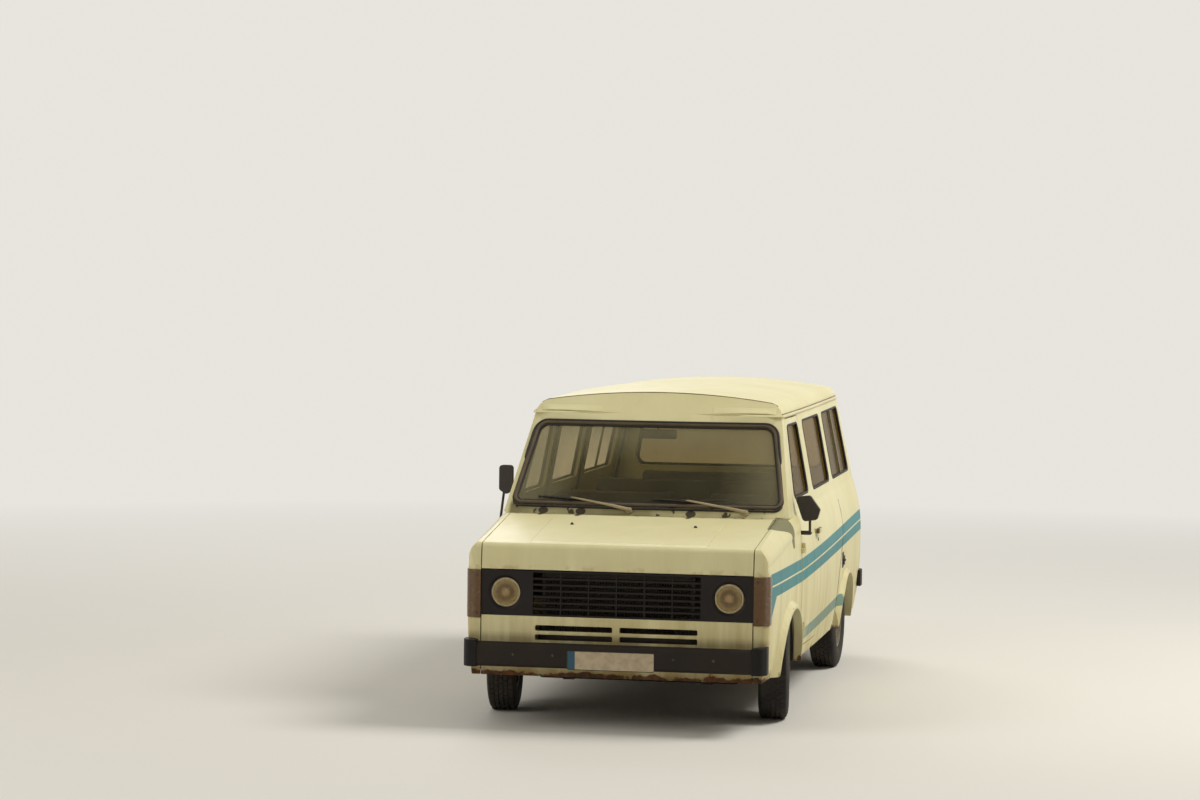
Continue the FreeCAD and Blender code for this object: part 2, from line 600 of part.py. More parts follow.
def make_front(shell, glass_shell, nose_shell):
    """Windscreen frame, bonnet, wings, front panel, grille and lamps."""
    door_line = DOOR_FRONT_Y - SHUT_GAP
    bonnet_rear_y = BONNET_REAR_Y
    front_y, back_y = NOSE_Y - 210.0, DOOR_FRONT_Y + 110.0
    wings = {}
    bonnet = [(-FACE_HALF, NOSE_Y - 20.0), (FACE_HALF, NOSE_Y - 20.0), (FACE_TOP_HALF, bonnet_rear_y),
              (-FACE_TOP_HALF, bonnet_rear_y)]
    lid = nose_shell.common(prism_z(bonnet, BONNET_LIP_Z, 1400.0))
    rib = nose_solid(-BONNET_RIB_RISE).cut(nose_solid(PANEL / 2))
    rib = rib.common(box(-BONNET_RIB_HALF, BONNET_RIB_HALF, NOSE_Y + 85.0, bonnet_rear_y - 25.0,
                         BROW_Z - 40.0, 1400.0))
    lid = joined([lid, rib])
    # The wings lie outside the bonnet and the front panel, back to the door's shut line
    between = [(-FACE_HALF - WING_GAP, NOSE_Y - 40.0), (FACE_HALF + WING_GAP, NOSE_Y - 40.0),
               (FACE_TOP_HALF + WING_GAP, bonnet_rear_y), (FACE_TOP_HALF + WING_GAP, back_y),
               (-FACE_TOP_HALF - WING_GAP, back_y), (-FACE_TOP_HALF - WING_GAP, bonnet_rear_y)]
    wing_shell = nose_shell.cut(prism_z(between, 200.0, 1400.0))
    wing_region = box(-1300.0, 1300.0, front_y, door_line, SILL_Z - 60.0, COWL_Z - 6.0 - SEAT_GAP)
    wing_shell = wing_shell.common(wing_region)
    flare_outer, flare_inner = nose_solid(-FLARE), nose_solid(PANEL / 2)
    lip_region = box(-1300.0, 1300.0, front_y, door_line, SILL_Z, 800.0)
    lamp_shell = nose_solid(-5.0).cut(nose_solid(14.0))
    lenses = []
    for side, name in ((1.0, "left"), (-1.0, "right")):
        lip = flare(flare_outer, flare_inner, FRONT_AXLE_Y, FRONT_ARCH, side).common(lip_region)
        wing = joined([wing_shell.common(far_side(side)), lip]).cut(arch(FRONT_AXLE_Y, FRONT_ARCH, side))
        x0, x1 = sorted(((FACE_HALF + WING_GAP) * side, 1000.0 * side))
        lenses.append(lamp_shell.common(box(x0, x1, NOSE_Y - 30.0, LENS_REAR_Y, LENS_LOW, LENS_TOP)))
        wing = wing.cut(box(x0 - 1.0, x1 + 1.0, NOSE_Y - 30.0, LENS_REAR_Y + SEAT_GAP, LENS_LOW - SEAT_GAP,
                            LENS_TOP + SEAT_GAP))
        liner = tunnel(FRONT_AXLE_Y, LINER_Z, FRONT_ARCH + LINER, side, 560.0, 920.0)
        liner = liner.cut(tunnel(FRONT_AXLE_Y, LINER_Z, FRONT_ARCH, side))
        liner = liner.common(box(-1300.0, 1300.0, front_y, door_line, LINER_Z, 1400.0))
        liner = liner.common(nose_solid(PANEL / 2))
        wings[name] = joined([wing, liner])
    save("indicators", *lenses)
    panel = nose_shell.common(box(-FACE_HALF, FACE_HALF, NOSE_Y - 10.0, NOSE_Y + PANEL,
                                  SILL_Z, GRILLE_LOW - SEAT_GAP))
    slots = []
    for side in (1.0, -1.0):
        x0, x1 = sorted(x * side for x in SLOTS_X)
        for z in SLOTS_Z:
            slot = rectangle(x0, x1, z - SLOT_HALF, z + SLOT_HALF)
            slots.append(prism_y(slot, NOSE_Y - 30.0, NOSE_Y + 60.0, 9.0))
    save("front_panel", panel.cut(slots[0].fuse(slots[1:])))
    make_grille()
    # The windscreen frame stands on the cowl and ends at the door's slanted front edge
    before_y = SCREEN_BASE_Y - 305.0
    screen_front_y, screen_back_y = SCREEN_BASE_Y - 405.0, SCREEN_TOP_Y + 185.0
    zone = prism_x([(before_y, COWL_Z - 6.0), (door_line, COWL_Z - 6.0), (door_line, BELT_Z),
                    (ROOF_SEAM_Y, BELT_Z), (ROOF_SEAM_Y, CROWN_Z), (before_y, CROWN_Z)], -1300.0, 1300.0)
    frame = shell.common(zone)
    frame = frame.cut(shut(FRONT_DOOR_OUTLINE, 1.0, SHUT_GAP)).cut(shut(FRONT_DOOR_OUTLINE, -1.0, SHUT_GAP))
    frame = frame.cut(prism_y(SCREEN_OPENING, screen_front_y, screen_back_y))
    cowl = nose_shell.common(box(-FACE_TOP_HALF, FACE_TOP_HALF, bonnet_rear_y + BONNET_GAP, door_line,
                                 BROW_Z, COWL_Z - 6.0 - SEAT_GAP))
    pin_y = bonnet_rear_y + BONNET_GAP / 2
    hinges = [hinge((x, pin_y, BONNET_HINGE_Z), (0, 0, 1), (0, -1, 0), BONNET_HINGE_R, 26.0)
              for x in (-600.0, 600.0)]
    cowl, lid = hung(cowl, lid, hinges)
    save("windscreen_frame", frame)
    save("cowl", cowl)
    save("bonnet", lid)
    pane = glass_shell.common(prism_y(grown(SCREEN_OPENING, -SEAT_GAP), screen_front_y, screen_back_y))
    save("windscreen", pane)
    return wings


def make_grille():
    """Dark panel between the wings with louvres, ribs and round lamp openings."""
    face_y = NOSE_Y + 4.0
    depth = 18.0
    plate_half = FACE_HALF + WING_GAP - SEAT_GAP
    plate = box(-plate_half, plate_half, face_y, face_y + depth, GRILLE_LOW, GRILLE_TOP)
    half, bottom, top = GRILLE_OPEN_HALF, GRILLE_LOW + 10.0, GRILLE_TOP - 10.0
    plate = plate.cut(box(-half, half, face_y - 1.0, face_y + depth + 1.0, bottom, top))
    rows, columns = 7, 6
    pitch = (top - bottom) / rows
    bars = []
    for i in range(1, rows):
        z = bottom + i * pitch
        bars.append(prism_x([(face_y + 2.0, z - 8.0), (face_y + depth, z - 2.0), (face_y + depth, z + 8.0),
                             (face_y + 2.0, z + 3.0)], -half, half))
    for i in range(1, columns):
        x = -half + i * 2 * half / columns
        bars.append(box(x - 4.0, x + 4.0, face_y, face_y + depth - 2.0, bottom, top))
    grille = joined([plate] + bars)
    lamps = []
    for side in (1.0, -1.0):
        x = LAMP_X * side
        grille = grille.cut(rod(LAMP_R + 14.0, (x, face_y - 5.0, LAMP_Z), (x, face_y + 60.0, LAMP_Z)))
        ring_profile = [(LAMP_R + 14.0, 0.0), (LAMP_R + 14.0, 30.0), (LAMP_R, 30.0), (LAMP_R, 12.0)]
        wire = Part.makePolygon([V(r, face_y + d, 0) for r, d in ring_profile + ring_profile[:1]])
        ring = Part.Face(wire).revolve(V(0, 0, 0), V(0, 1, 0), 360)
        ring.translate(V(x, 0, LAMP_Z))
        grille = grille.fuse(ring)
        dome = Part.makeSphere(300.0, V(x, face_y + 8.0 + 300.0, LAMP_Z))
        bucket = rod(LAMP_R - SEAT_GAP, (x, face_y, LAMP_Z), (x, face_y + 95.0, LAMP_Z))
        lamps.append(bucket.common(dome))
    save("grille_panel", grille.removeSplitter())
    save("headlamps", *lamps)


# Bumpers, tail lamps and mudflaps

def make_bumpers():
    """Pressed channels, each on two brackets. The front one has moulded caps round its ends."""
    low, high = 369.0, 516.0
    face_y, back_y = FRONT_BUMPER_Y + 6.0, NOSE_Y - 52.0
    edge, wall = 14.0, 6.0
    bar_half, cap_half, cap_rear_y = 822.0, 910.0, NOSE_Y + 30.0
    profile = [(face_y, low + edge, 8.0), (face_y, high - edge, 8.0), (face_y + edge, high, 4.0),
               (back_y, high, 0.0), (back_y, low, 0.0), (face_y + edge, low, 4.0)]
    bar = prism_x(profile, -bar_half, bar_half)
    hollow_half = bar_half - wall
    bar = bar.cut(box(-hollow_half, hollow_half, face_y + wall, back_y + 1.0, low + edge, high - edge))
    brackets = [box(x - 30.0, x + 30.0, face_y + wall / 2, NOSE_Y, 400.0, 480.0) for x in BUMPER_BRACKETS]
    save("front_bumper", joined([bar] + brackets))
    caps = []
    for side in (1.0, -1.0):
        inner_x = bar_half + SEAT_GAP
        plan = [(inner_x, FRONT_BUMPER_Y, 6.0), (cap_half - 30.0, FRONT_BUMPER_Y, 40.0),
                (cap_half, FRONT_BUMPER_Y + 46.0, 40.0), (cap_half, cap_rear_y, 8.0),
                (cap_half - 34.0, cap_rear_y, 0.0), (inner_x, back_y, 0.0)]
        cap = prism_z([(x * side, y, r) for x, y, r in plan], low - 3.0, high + 9.0)
        caps.append(cap.cut(nose_solid(-2.0)))
    save("bumper_caps", *caps)
    half, depth = 962.0, 40.0
    front_y = TAIL_Y - 80.0
    tail = [(-half, front_y), (half, front_y), (half, REAR_BUMPER_Y, 60.0), (-half, REAR_BUMPER_Y, 60.0)]
    bar = prism_z(tail, 473.0, 586.0).cut(body_solid(-3.0))
    bar = bar.cut(box(-half + 57.0, half - 57.0, front_y - 200.0, REAR_BUMPER_Y - depth, 400.0, 700.0))
    brackets = [box(x - 30.0, x + 30.0, TAIL_Y, REAR_BUMPER_Y - 30.0, 500.0, 560.0)
                for x in BUMPER_BRACKETS]
    save("rear_bumper", joined([bar] + brackets))
    lamps = []
    for side in (1.0, -1.0):
        x0, x1 = sorted((832.0 * side, 912.0 * side))
        lamps.append(box(x0, x1, TAIL_Y + SEAT_GAP, TAIL_Y + 26.0, 760.0, 1010.0))
    save("tail_lamps", *lamps)


# Floor, seats and controls

def make_inside():
    cabin = body_solid(WALL + SEAT_GAP)
    slab = box(-1000.0, 1000.0, BULKHEAD_Y, TAIL_Y - WALL - SEAT_GAP, FLOOR_Z, FLOOR_TOP_Z).common(cabin)
    toe = box(-800.0, 800.0, BULKHEAD_Y - 30.0, BULKHEAD_Y, FLOOR_Z, 1180.0)
    parts = [slab, toe]
    for side in (1.0, -1.0):
        round_liner = tunnel(FRONT_AXLE_Y, LINER_Z, FRONT_ARCH + LINER + 1.0, side, 555.0)
        parts = [p.cut(round_liner) for p in parts]
        house = tunnel(REAR_AXLE_Y, LINER_Z, REAR_ARCH + LINER, side, 600.0, 960.0)
        hollow = tunnel(REAR_AXLE_Y, LINER_Z, REAR_ARCH, side, 608.0)
        above_floor = box(-1000.0, 1000.0, REAR_AXLE_Y - 790.0, TAIL_Y - 200.0, FLOOR_Z, 900.0)
        house = common(house, cabin, above_floor)
        parts = [p.cut(hollow) for p in parts]
        parts.append(house.cut(hollow))
    # The floor's edge stands clear of the doors
    beside = body_solid(WALL - 10.0).cut(body_solid(WALL + DOOR_CLEARANCE))
    rows = [(far_side(1.0), DOOR_FRONT_Y, DOOR_REAR_Y), (far_side(-1.0), DOOR_FRONT_Y, SIDE_DOOR_REAR_Y)]
    trims = []
    for half, y0, y1 in rows:
        trims.append(common(beside, half, box(-1300.0, 1300.0, y0 - 20.0, y1 + 20.0, 380.0, 1300.0)))
    floor = cut(joined(parts), *trims)
    save("floor", floor)
    dash_y, edge_y = BULKHEAD_Y + SEAT_GAP, BULKHEAD_Y + 240.0
    dash = prism_x([(dash_y, 900.0, 0.0), (edge_y, 930.0), (edge_y + 25.0, 1120.0), (edge_y - 10.0, 1175.0),
                    (dash_y, 1195.0, 0.0)], -800.0, 800.0, 20.0).common(cabin)
    wheel_centre = V(430.0, BULKHEAD_Y + 390.0, 1170.0)
    wheel_r, column_r = 205.0, 24.0
    ring = Part.makeTorus(wheel_r, 14.0, V(0, 0, 0), V(0, 0, 1))
    hub = Part.makeCylinder(42.0, 34.0, V(0, 0, -40.0))
    spokes = [box(-wheel_r, wheel_r, -16.0, 16.0, -24.0, -12.0)]
    column = Part.makeCylinder(column_r, 175.0, V(0, 0, -212.0))
    column_hole = Part.makeCylinder(column_r + SEAT_GAP, 300.0, V(0, 0, -212.0))
    wheel = joined([ring, hub, column] + spokes)
    for shape in (wheel, column_hole):
        shape.rotate(V(0, 0, 0), V(1, 0, 0), -38.0)
        shape.translate(wheel_centre)
    save("dashboard", dash.cut(column_hole))
    save("steering_wheel", wheel)
    frames = []
    cab_seat_y, bench_y, last_bench_y = DOOR_FRONT_Y + 350.0, SIDE_DOOR_FRONT_Y + 430.0, REAR_AXLE_Y - 110.0
    # Columns: x centre, width, y of the cushion's front, depth, cushion height
    front = ((430.0, 480.0, cab_seat_y, 470.0, 780.0), (-390.0, 860.0, cab_seat_y, 470.0, 780.0))
    rear = ((0.0, 1500.0, bench_y, 450.0, 800.0), (0.0, 1160.0, last_bench_y, 450.0, 800.0))
    for name, rows in (("front_seats", front), ("rear_seats", rear)):
        cushions = []
        for x, width, y, depth, height in rows:
            x0, x1 = x - width / 2, x + width / 2
            end_y, underside, top_z = y + depth, height - 130.0, height + 530.0
            cushions.append(box(x0, x1, y, end_y, underside, height))
            back = prism_x([(end_y - 60.0, height + SEAT_GAP), (end_y + 50.0, height + SEAT_GAP),
                            (end_y + 130.0, top_z), (end_y + 40.0, top_z)], x0, x1, 25.0)
            cushions.append(back)
            stand = box(x0 + 20.0, x1 - 20.0, y + 40.0, end_y - 20.0, FLOOR_TOP_Z + SEAT_GAP,
                        underside - SEAT_GAP)
            between = box(x0 + 50.0, x1 - 50.0, y, end_y, FLOOR_TOP_Z - 10.0, underside - 40.0)
            frames.append(stand.cut(between))
        save(name, *cushions)
    save("seat_frames", *frames)


# Chassis, engine, axles and wheels

def make_under():
    """Ladder frame with its tow plate, engine, axles, exhaust, tank and mudflaps."""
    low, high = 330.0, FLOOR_Z - SEAT_GAP
    step_y = FRONT_AXLE_Y - 300.0
    rails = []
    for x in (-RAIL_X, RAIL_X):
        rails.append(box(x - 32.0, x + 32.0, NOSE_Y + PANEL + SEAT_GAP, step_y, 400.0, 500.0))
        rails.append(box(x - 32.0, x + 32.0, step_y - 20.0, TAIL_Y - 20.0, low, high))
    for y in CROSS_MEMBERS:
        rails.append(box(-410.0, 410.0, y - 30.0, y + 30.0, low + 10.0, high - 9.7))
    for y in OUTRIGGERS:
        rails.append(box(-840.0, 840.0, y - 25.0, y + 25.0, high - 39.7, high))
    notch = rod(AXLE_TUBE_R + 14.0, (-500.0, REAR_AXLE_Y, TYRE_RADIUS), (500.0, REAR_AXLE_Y, TYRE_RADIUS))
    frame = joined(rails).cut(notch)
    # Rear plate with the tow bar's four bolt holes
    plate = box(-462.0, 462.0, TAIL_Y - 20.0, TAIL_Y - 10.0, low, high)
    for x in (-TOW_SPACING_X / 2, TOW_SPACING_X / 2):
        for z in (TOW_Z - TOW_SPACING_Z / 2, TOW_Z + TOW_SPACING_Z / 2):
            plate = plate.cut(rod(TOW_HOLE_R, (x, TAIL_Y - 40.0, z), (x, TAIL_Y + 10.0, z)))
    save("chassis", joined([frame, plate]))
    save("engine", box(-230.0, 230.0, FRONT_AXLE_Y - 660.0, FRONT_AXLE_Y - 80.0, 420.0 + SEAT_GAP, 960.0))
    make_front_axle()
    make_rear_axle()
    pipe_x, pipe_z, mid_y = -250.0, 300.0, SIDE_DOOR_FRONT_Y
    front_hanger_y, rear_hanger_y = CROSS_MEMBERS[1], OUTRIGGERS[2]
    hangers = ((front_hanger_y, 310.0, low + 10.0), (rear_hanger_y, 350.0, high - 39.7))
    parts = [rod(25.0, (pipe_x, FRONT_AXLE_Y, pipe_z), (pipe_x, mid_y + 600.0, pipe_z)),
             rod(66.0, (pipe_x, mid_y - 100.0, pipe_z), (pipe_x, mid_y + 420.0, pipe_z))]
    parts += [box(pipe_x - 8.0, pipe_x + 8.0, y - 10.0, y + 10.0, z0, z1 - SEAT_GAP) for y, z0, z1 in hangers]
    save("exhaust", joined(parts))
    save("fuel_tank", box(470.0, 800.0, mid_y - 320.0, mid_y + 340.0, 240.0, high - 40.0))
    flap_y = REAR_AXLE_Y + 430.0
    flaps = []
    for side in (1.0, -1.0):
        x0, x1 = sorted((715.0 * side, 856.0 * side))
        flaps.append(box(x0, x1, flap_y, flap_y + 8.0, 90.0, high))
    save("mudflaps", *flaps)


def make_front_axle():
    """Dropped beam between the kingpin eyes, with its leaf springs."""
    beam_z, eye_r = 230.0, 17.0
    beam = [rod(30.0, (-600.0, FRONT_AXLE_Y, beam_z), (600.0, FRONT_AXLE_Y, beam_z))]
    for side in (1.0, -1.0):
        knee, neck = (600.0 * side, FRONT_AXLE_Y, beam_z), (690.0 * side, FRONT_AXLE_Y, TYRE_RADIUS)
        eye = Part.makeCylinder(36.0, 80.0, V(KINGPIN_X * side, FRONT_AXLE_Y, TYRE_RADIUS - 40.0))
        beam += [eye, Part.makeSphere(30.0, V(*knee)), rod(27.0, knee, neck), Part.makeSphere(27.0, V(*neck)),
                 rod(27.0, neck, ((KINGPIN_X - 20.0) * side, FRONT_AXLE_Y, TYRE_RADIUS))]
    beam = joined(beam)
    for side in (1.0, -1.0):
        x = KINGPIN_X * side
        low_z, high_z = TYRE_RADIUS - 175.0, TYRE_RADIUS + 175.0
        beam = beam.cut(rod(eye_r, (x, FRONT_AXLE_Y, low_z), (x, FRONT_AXLE_Y, high_z)))
    save("front_axle", joined([beam] + springs(FRONT_AXLE_Y, 200.0, 262.0, 330.0)))


def turned(points, axis, place):
    """Solid of revolution from (along the axis, radius) points, about an axis through a place."""
    wire = Part.makePolygon([V(u, 0, r) for u, r in points + points[:1]])
    solid = Part.Face(wire).revolve(V(0, 0, 0), V(1, 0, 0), 360)
    solid.rotate(V(0, 0, 0), V(0, 0, 1), axis)
    solid.translate(place)
    return solid


def make_rear_axle():
    """Tube with a swollen differential housing, brake backplates, spindles and leaf springs."""
    centre = V(0, REAR_AXLE_Y, TYRE_RADIUS)
    half = REAR_HALF_TRACK - BACKPLATE_INSET
    profile = [(half, 0.0), (half, BACKPLATE_R), (half - 8.0, BACKPLATE_R), (half - 14.0, AXLE_TUBE_R + 8.0),
               (half - 40.0, AXLE_TUBE_R), (210.0, AXLE_TUBE_R), (120.0, 78.0)]
    tube = turned(profile + [(-u, r) for u, r in reversed(profile)], 0.0, centre)
    housing = [(-84.0, 0.0), (-84.0, 40.0), (-60.0, 92.0), (50.0, 96.0), (84.0, 46.0), (84.0, 0.0)]
    cover = turned(housing, 90.0, centre)
    reach = REAR_HALF_TRACK + 20.0
    spindle = rod(SPINDLE_R, (-reach, REAR_AXLE_Y, TYRE_RADIUS), (reach, REAR_AXLE_Y, TYRE_RADIUS))
    save("rear_axle", joined([tube, cover, spindle] + springs(REAR_AXLE_Y, 265.0, 300.0, 330.0)))


def springs(axle_y, low, seat, rail):
    """A pair of leaf springs, each with clamp and hangers up to its rail."""
    parts = []
    for x in (-RAIL_X, RAIL_X):
        at_leaf = at_x(x - 30.0)
        front_y, back_y = axle_y - 560.0, axle_y + 560.0
        a, b, c = at_leaf(front_y, rail - 40.0), at_leaf(axle_y, seat - 30.0), at_leaf(back_y, rail - 40.0)
        d, e, f = at_leaf(back_y, rail - 26.0), at_leaf(axle_y, seat - 4.0), at_leaf(front_y, rail - 26.0)
        leaf = Part.Wire([Part.Arc(a, b, c).toShape(), Part.makeLine(c, d), Part.Arc(d, e, f).toShape(),
                          Part.makeLine(f, a)])
        parts.append(prism(leaf, V(60.0, 0, 0)))
        for end in (-1.0, 1.0):
            y = axle_y + end * 545.0
            parts.append(box(x - 26.0, x + 26.0, y - 14.0, y + 14.0, rail - 40.0, rail - SEAT_GAP))
        parts.append(box(x - 34.0, x + 34.0, axle_y - 50.0, axle_y + 50.0, low, seat))
    return parts


def revolved(points, centre_x, axle_y, side):
    """Solid of revolution about the wheel's axle from (offset outward, radius) points."""
    wire = Part.makePolygon([V(u, 0, r) for u, r in points] + [V(points[0][0], 0, points[0][1])])
    solid = Part.Face(wire).revolve(V(0, 0, 0), V(1, 0, 0), 360)
    if side < 0:
        solid = mirrored(solid)
    solid.translate(V(centre_x * side, axle_y, TYRE_RADIUS))
    return solid


def tyre_points():
    half, bead = TYRE_WIDTH / 2, RIM_WIDTH / 2 - SEAT_GAP
    inner = RIM_RADIUS + SEAT_GAP
    side = [(bead, inner), (bead, inner + 16.0), (half - 6.0, inner + 40.0), (half, inner + 72.0),
            (half - 8.0, TYRE_RADIUS - 34.0), (half - 20.0, TYRE_RADIUS - 9.0), (half - 36.0, TYRE_RADIUS)]
    return side + [(-u, r) for u, r in reversed(side)]


def rim_points():
    half, bore = RIM_WIDTH / 2, SPINDLE_R + RUNNING_FIT
    lip_r, well_r = RIM_RADIUS + 12.0, RIM_RADIUS - 8.0
    return [(-half - 6.0, lip_r), (-half, lip_r), (-half, RIM_RADIUS), (half, RIM_RADIUS), (half, lip_r),
            (half + 6.0, lip_r), (half + 6.0, well_r), (30.0, RIM_RADIUS - 12.0), (22.0, 150.0),
            (44.0, 110.0), (24.0, 88.0), (24.0, bore), (14.0, bore), (14.0, 88.0), (34.0, 112.0),
            (12.0, 150.0), (10.0, RIM_RADIUS - 10.0), (-half - 6.0, well_r)]


def rim_solid(track, axle_y, side):
    """Pressed wheel with a ring of round cooling holes in its disc."""
    rim = revolved(rim_points(), track, axle_y, side)
    holes = []
    for i in range(RIM_HOLES):
        angle = 2 * math.pi * i / RIM_HOLES
        y, z = axle_y + RIM_HOLES_R * math.cos(angle), TYRE_RADIUS + RIM_HOLES_R * math.sin(angle)
        holes.append(rod(RIM_HOLE_R, ((track - 5.0) * side, y, z), ((track + 60.0) * side, y, z)))
    return rim.cut(holes[0].fuse(holes[1:]))


def steered(shape, side):
    turned = shape.copy()
    turned.rotate(V(KINGPIN_X * side, FRONT_AXLE_Y, 0), V(0, 0, 1), PARKED_STEER)
    return turned


def make_wheels():
    for name, side, track, axle_y in (("front_left", 1.0, FRONT_HALF_TRACK, FRONT_AXLE_Y),
                                      ("front_right", -1.0, FRONT_HALF_TRACK, FRONT_AXLE_Y),
                                      ("rear_left", 1.0, REAR_HALF_TRACK, REAR_AXLE_Y),
                                      ("rear_right", -1.0, REAR_HALF_TRACK, REAR_AXLE_Y)):
        tyre = revolved(tyre_points(), track, axle_y, side)
        rim = rim_solid(track, axle_y, side)
        if axle_y == FRONT_AXLE_Y:
            tyre, rim = steered(tyre, side), steered(rim, side)
        save("tyre_" + name, tyre)
        save("rim_" + name, rim)
    for name, side in (("left", 1.0), ("right", -1.0)):
        x = KINGPIN_X * side
        pin = Part.makeCylinder(17.0 - RUNNING_FIT, 150.0, V(x, FRONT_AXLE_Y, TYRE_RADIUS - 75.0))
        arm_z = TYRE_RADIUS - 65.0
        lug_heights = (arm_z, TYRE_RADIUS + 45.0)
        lugs = [Part.makeCylinder(32.0, 20.0, V(x, FRONT_AXLE_Y, z)) for z in lug_heights]
        bridge = box(*sorted((x + 42.0 * side, x + 60.0 * side)), FRONT_AXLE_Y - 32.0, FRONT_AXLE_Y + 32.0,
                     arm_z, TYRE_RADIUS + 65.0)
        ties = [box(*sorted((x, x + 50.0 * side)), FRONT_AXLE_Y - 26.0, FRONT_AXLE_Y + 26.0, z, z + 20.0)
                for z in lug_heights]
        plate = rod(130.0, (x + 56.0 * side, FRONT_AXLE_Y, TYRE_RADIUS),
                    (x + 64.0 * side, FRONT_AXLE_Y, TYRE_RADIUS))
        spindle = rod(SPINDLE_R, (x + 50.0 * side, FRONT_AXLE_Y, TYRE_RADIUS),
                      ((FRONT_HALF_TRACK + 20.0) * side, FRONT_AXLE_Y, TYRE_RADIUS))
        arm = box(x - 12.0, x + 12.0, FRONT_AXLE_Y, FRONT_AXLE_Y + STEER_ARM, arm_z, arm_z + 20.0)
        arm_end = Part.makeCylinder(ROD_END_R, 20.0, V(x, FRONT_AXLE_Y + STEER_ARM, arm_z))
        # The right-hand end of the track rod is the open pivot, with a wider hole
        eye_r = 8.0 + RUNNING_FIT if side > 0 else 9.0
        eye = Part.makeCylinder(eye_r, 40.0, V(x, FRONT_AXLE_Y + STEER_ARM, arm_z - 10.0))
        knuckle = joined([pin, bridge, plate, spindle, arm, arm_end] + lugs + ties).cut(eye)
        save("knuckle_" + name, steered(knuckle, side))
    make_track_rod()


def make_track_rod():
    """Rod that joins the two steering arms behind the axle, under the springs."""
    turn = math.radians(PARKED_STEER)
    dx, dy = -STEER_ARM * math.sin(turn), STEER_ARM * math.cos(turn)
    y, z = FRONT_AXLE_Y + dy, 208.0
    ends = (-KINGPIN_X + dx, KINGPIN_X + dx)
    parts = [rod(12.0, (ends[0], y, z), (ends[1], y, z))]
    for x in ends:
        parts.append(Part.makeCylinder(ROD_END_R, 34.0, V(x, y, z - 17.0)))
        parts.append(Part.makeCylinder(8.0, TYRE_RADIUS - 40.0 - z, V(x, y, z)))
    save("track_rod", joined(parts))


# Mirror heads as (x, z) outlines; the two sides have different patterns
MIRROR_LEFT = ((893.0, 1322.0, 18.0), (986.0, 1334.0, 24.0), (1050.0, 1246.0, 18.0), (1032.0, 1184.0, 18.0),
               (945.0, 1171.0, 24.0))
MIRROR_RIGHT = ((-902.0, 1478.0, 22.0), (-988.0, 1478.0, 22.0), (-988.0, 1322.0, 22.0),
                (-936.0, 1290.0, 22.0), (-902.0, 1330.0, 18.0))


def make_mirrors():
    """Each mirror stands on a bent arm from a foot on its door."""
    skin = body_solid(-SEAT_GAP)
    y, foot_z = DOOR_FRONT_Y + 52.0, SHOULDER_Z + 25.0
    foot_x = skin_x(foot_z)
    for name, side, head, arm_x in (("left", 1.0, MIRROR_LEFT, 985.0), ("right", -1.0, MIRROR_RIGHT, 958.0)):
        low = min(p[1] for p in head)
        shell = prism_y(head, y - 24.0, y + 16.0)
        bend = ((foot_x + 40.0) * side, y, foot_z)
        foot = rod(13.0, ((foot_x - 36.0) * side, y, foot_z), ((foot_x + 34.0) * side, y, foot_z))
        knuckle = Part.makeSphere(13.0, V(*bend))
        stem = rod(8.0, bend, (arm_x * side, y, low + 40.0))
        save("mirror_" + name, joined([shell, foot, knuckle, stem]).cut(skin))


def main():
    os.makedirs("parts", exist_ok=True)
    shell, glass_shell, nose_shell = make_body()
    wings = make_front(shell, glass_shell, nose_shell)
    make_sides(shell, glass_shell, wings)
    make_bumpers()
    make_inside()
    make_under()
    make_wheels()
    make_mirrors()
    everything = Part.makeCompound(list(SAVED.values()))
    print("solids", len(everything.Solids))


main()
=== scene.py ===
# %% [markdown]
# # Dressing a small minibus
# The solids of this minibus are already made: panels, glass, wheels, seats, and the joints between
# them. This lesson adds what the eye reads first: aged cream paint with its blue stripes, rubber
# round the windows, wipers, lamps with real lenses, tyres with a tread, and soft seats.
# Each step starts with a few words on the real thing and on the way chosen to make it.

# %% Load the frame
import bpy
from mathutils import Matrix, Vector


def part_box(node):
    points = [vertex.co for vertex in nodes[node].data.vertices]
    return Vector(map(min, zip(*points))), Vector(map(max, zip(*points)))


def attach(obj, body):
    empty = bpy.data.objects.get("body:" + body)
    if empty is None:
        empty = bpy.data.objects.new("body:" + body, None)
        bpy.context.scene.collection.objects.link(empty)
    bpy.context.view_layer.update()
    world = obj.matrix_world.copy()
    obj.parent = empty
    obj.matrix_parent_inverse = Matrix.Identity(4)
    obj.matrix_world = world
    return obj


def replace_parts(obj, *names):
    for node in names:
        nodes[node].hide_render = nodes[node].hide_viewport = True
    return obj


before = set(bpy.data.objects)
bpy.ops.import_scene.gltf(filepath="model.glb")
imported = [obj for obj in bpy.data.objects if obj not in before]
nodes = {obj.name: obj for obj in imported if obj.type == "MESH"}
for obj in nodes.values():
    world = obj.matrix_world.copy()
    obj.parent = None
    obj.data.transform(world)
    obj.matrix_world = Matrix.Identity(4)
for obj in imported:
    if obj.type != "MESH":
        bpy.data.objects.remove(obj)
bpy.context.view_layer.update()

# %% What the lesson uses
import math
from functools import partialmethod
import bmesh
import bpy
from mathutils import Matrix, Vector
from mathutils.bvhtree import BVHTree

scene = bpy.context.scene
LEFT, RIGHT = 1.0, -1.0
SIDES = (("left", LEFT), ("right", RIGHT))
DARK = "dark_plastic"

# %% [markdown]
# ## Node trees as expressions
# A material or a Geometry Nodes tree is a net of small boxes. Drawn by hand it soon looks like a
# bowl of noodles. Here a small class wraps a socket, so that `mask * 0.5 + 1` adds the Math nodes
# by itself, and one method adds any other node. The same two classes serve both kinds of tree.

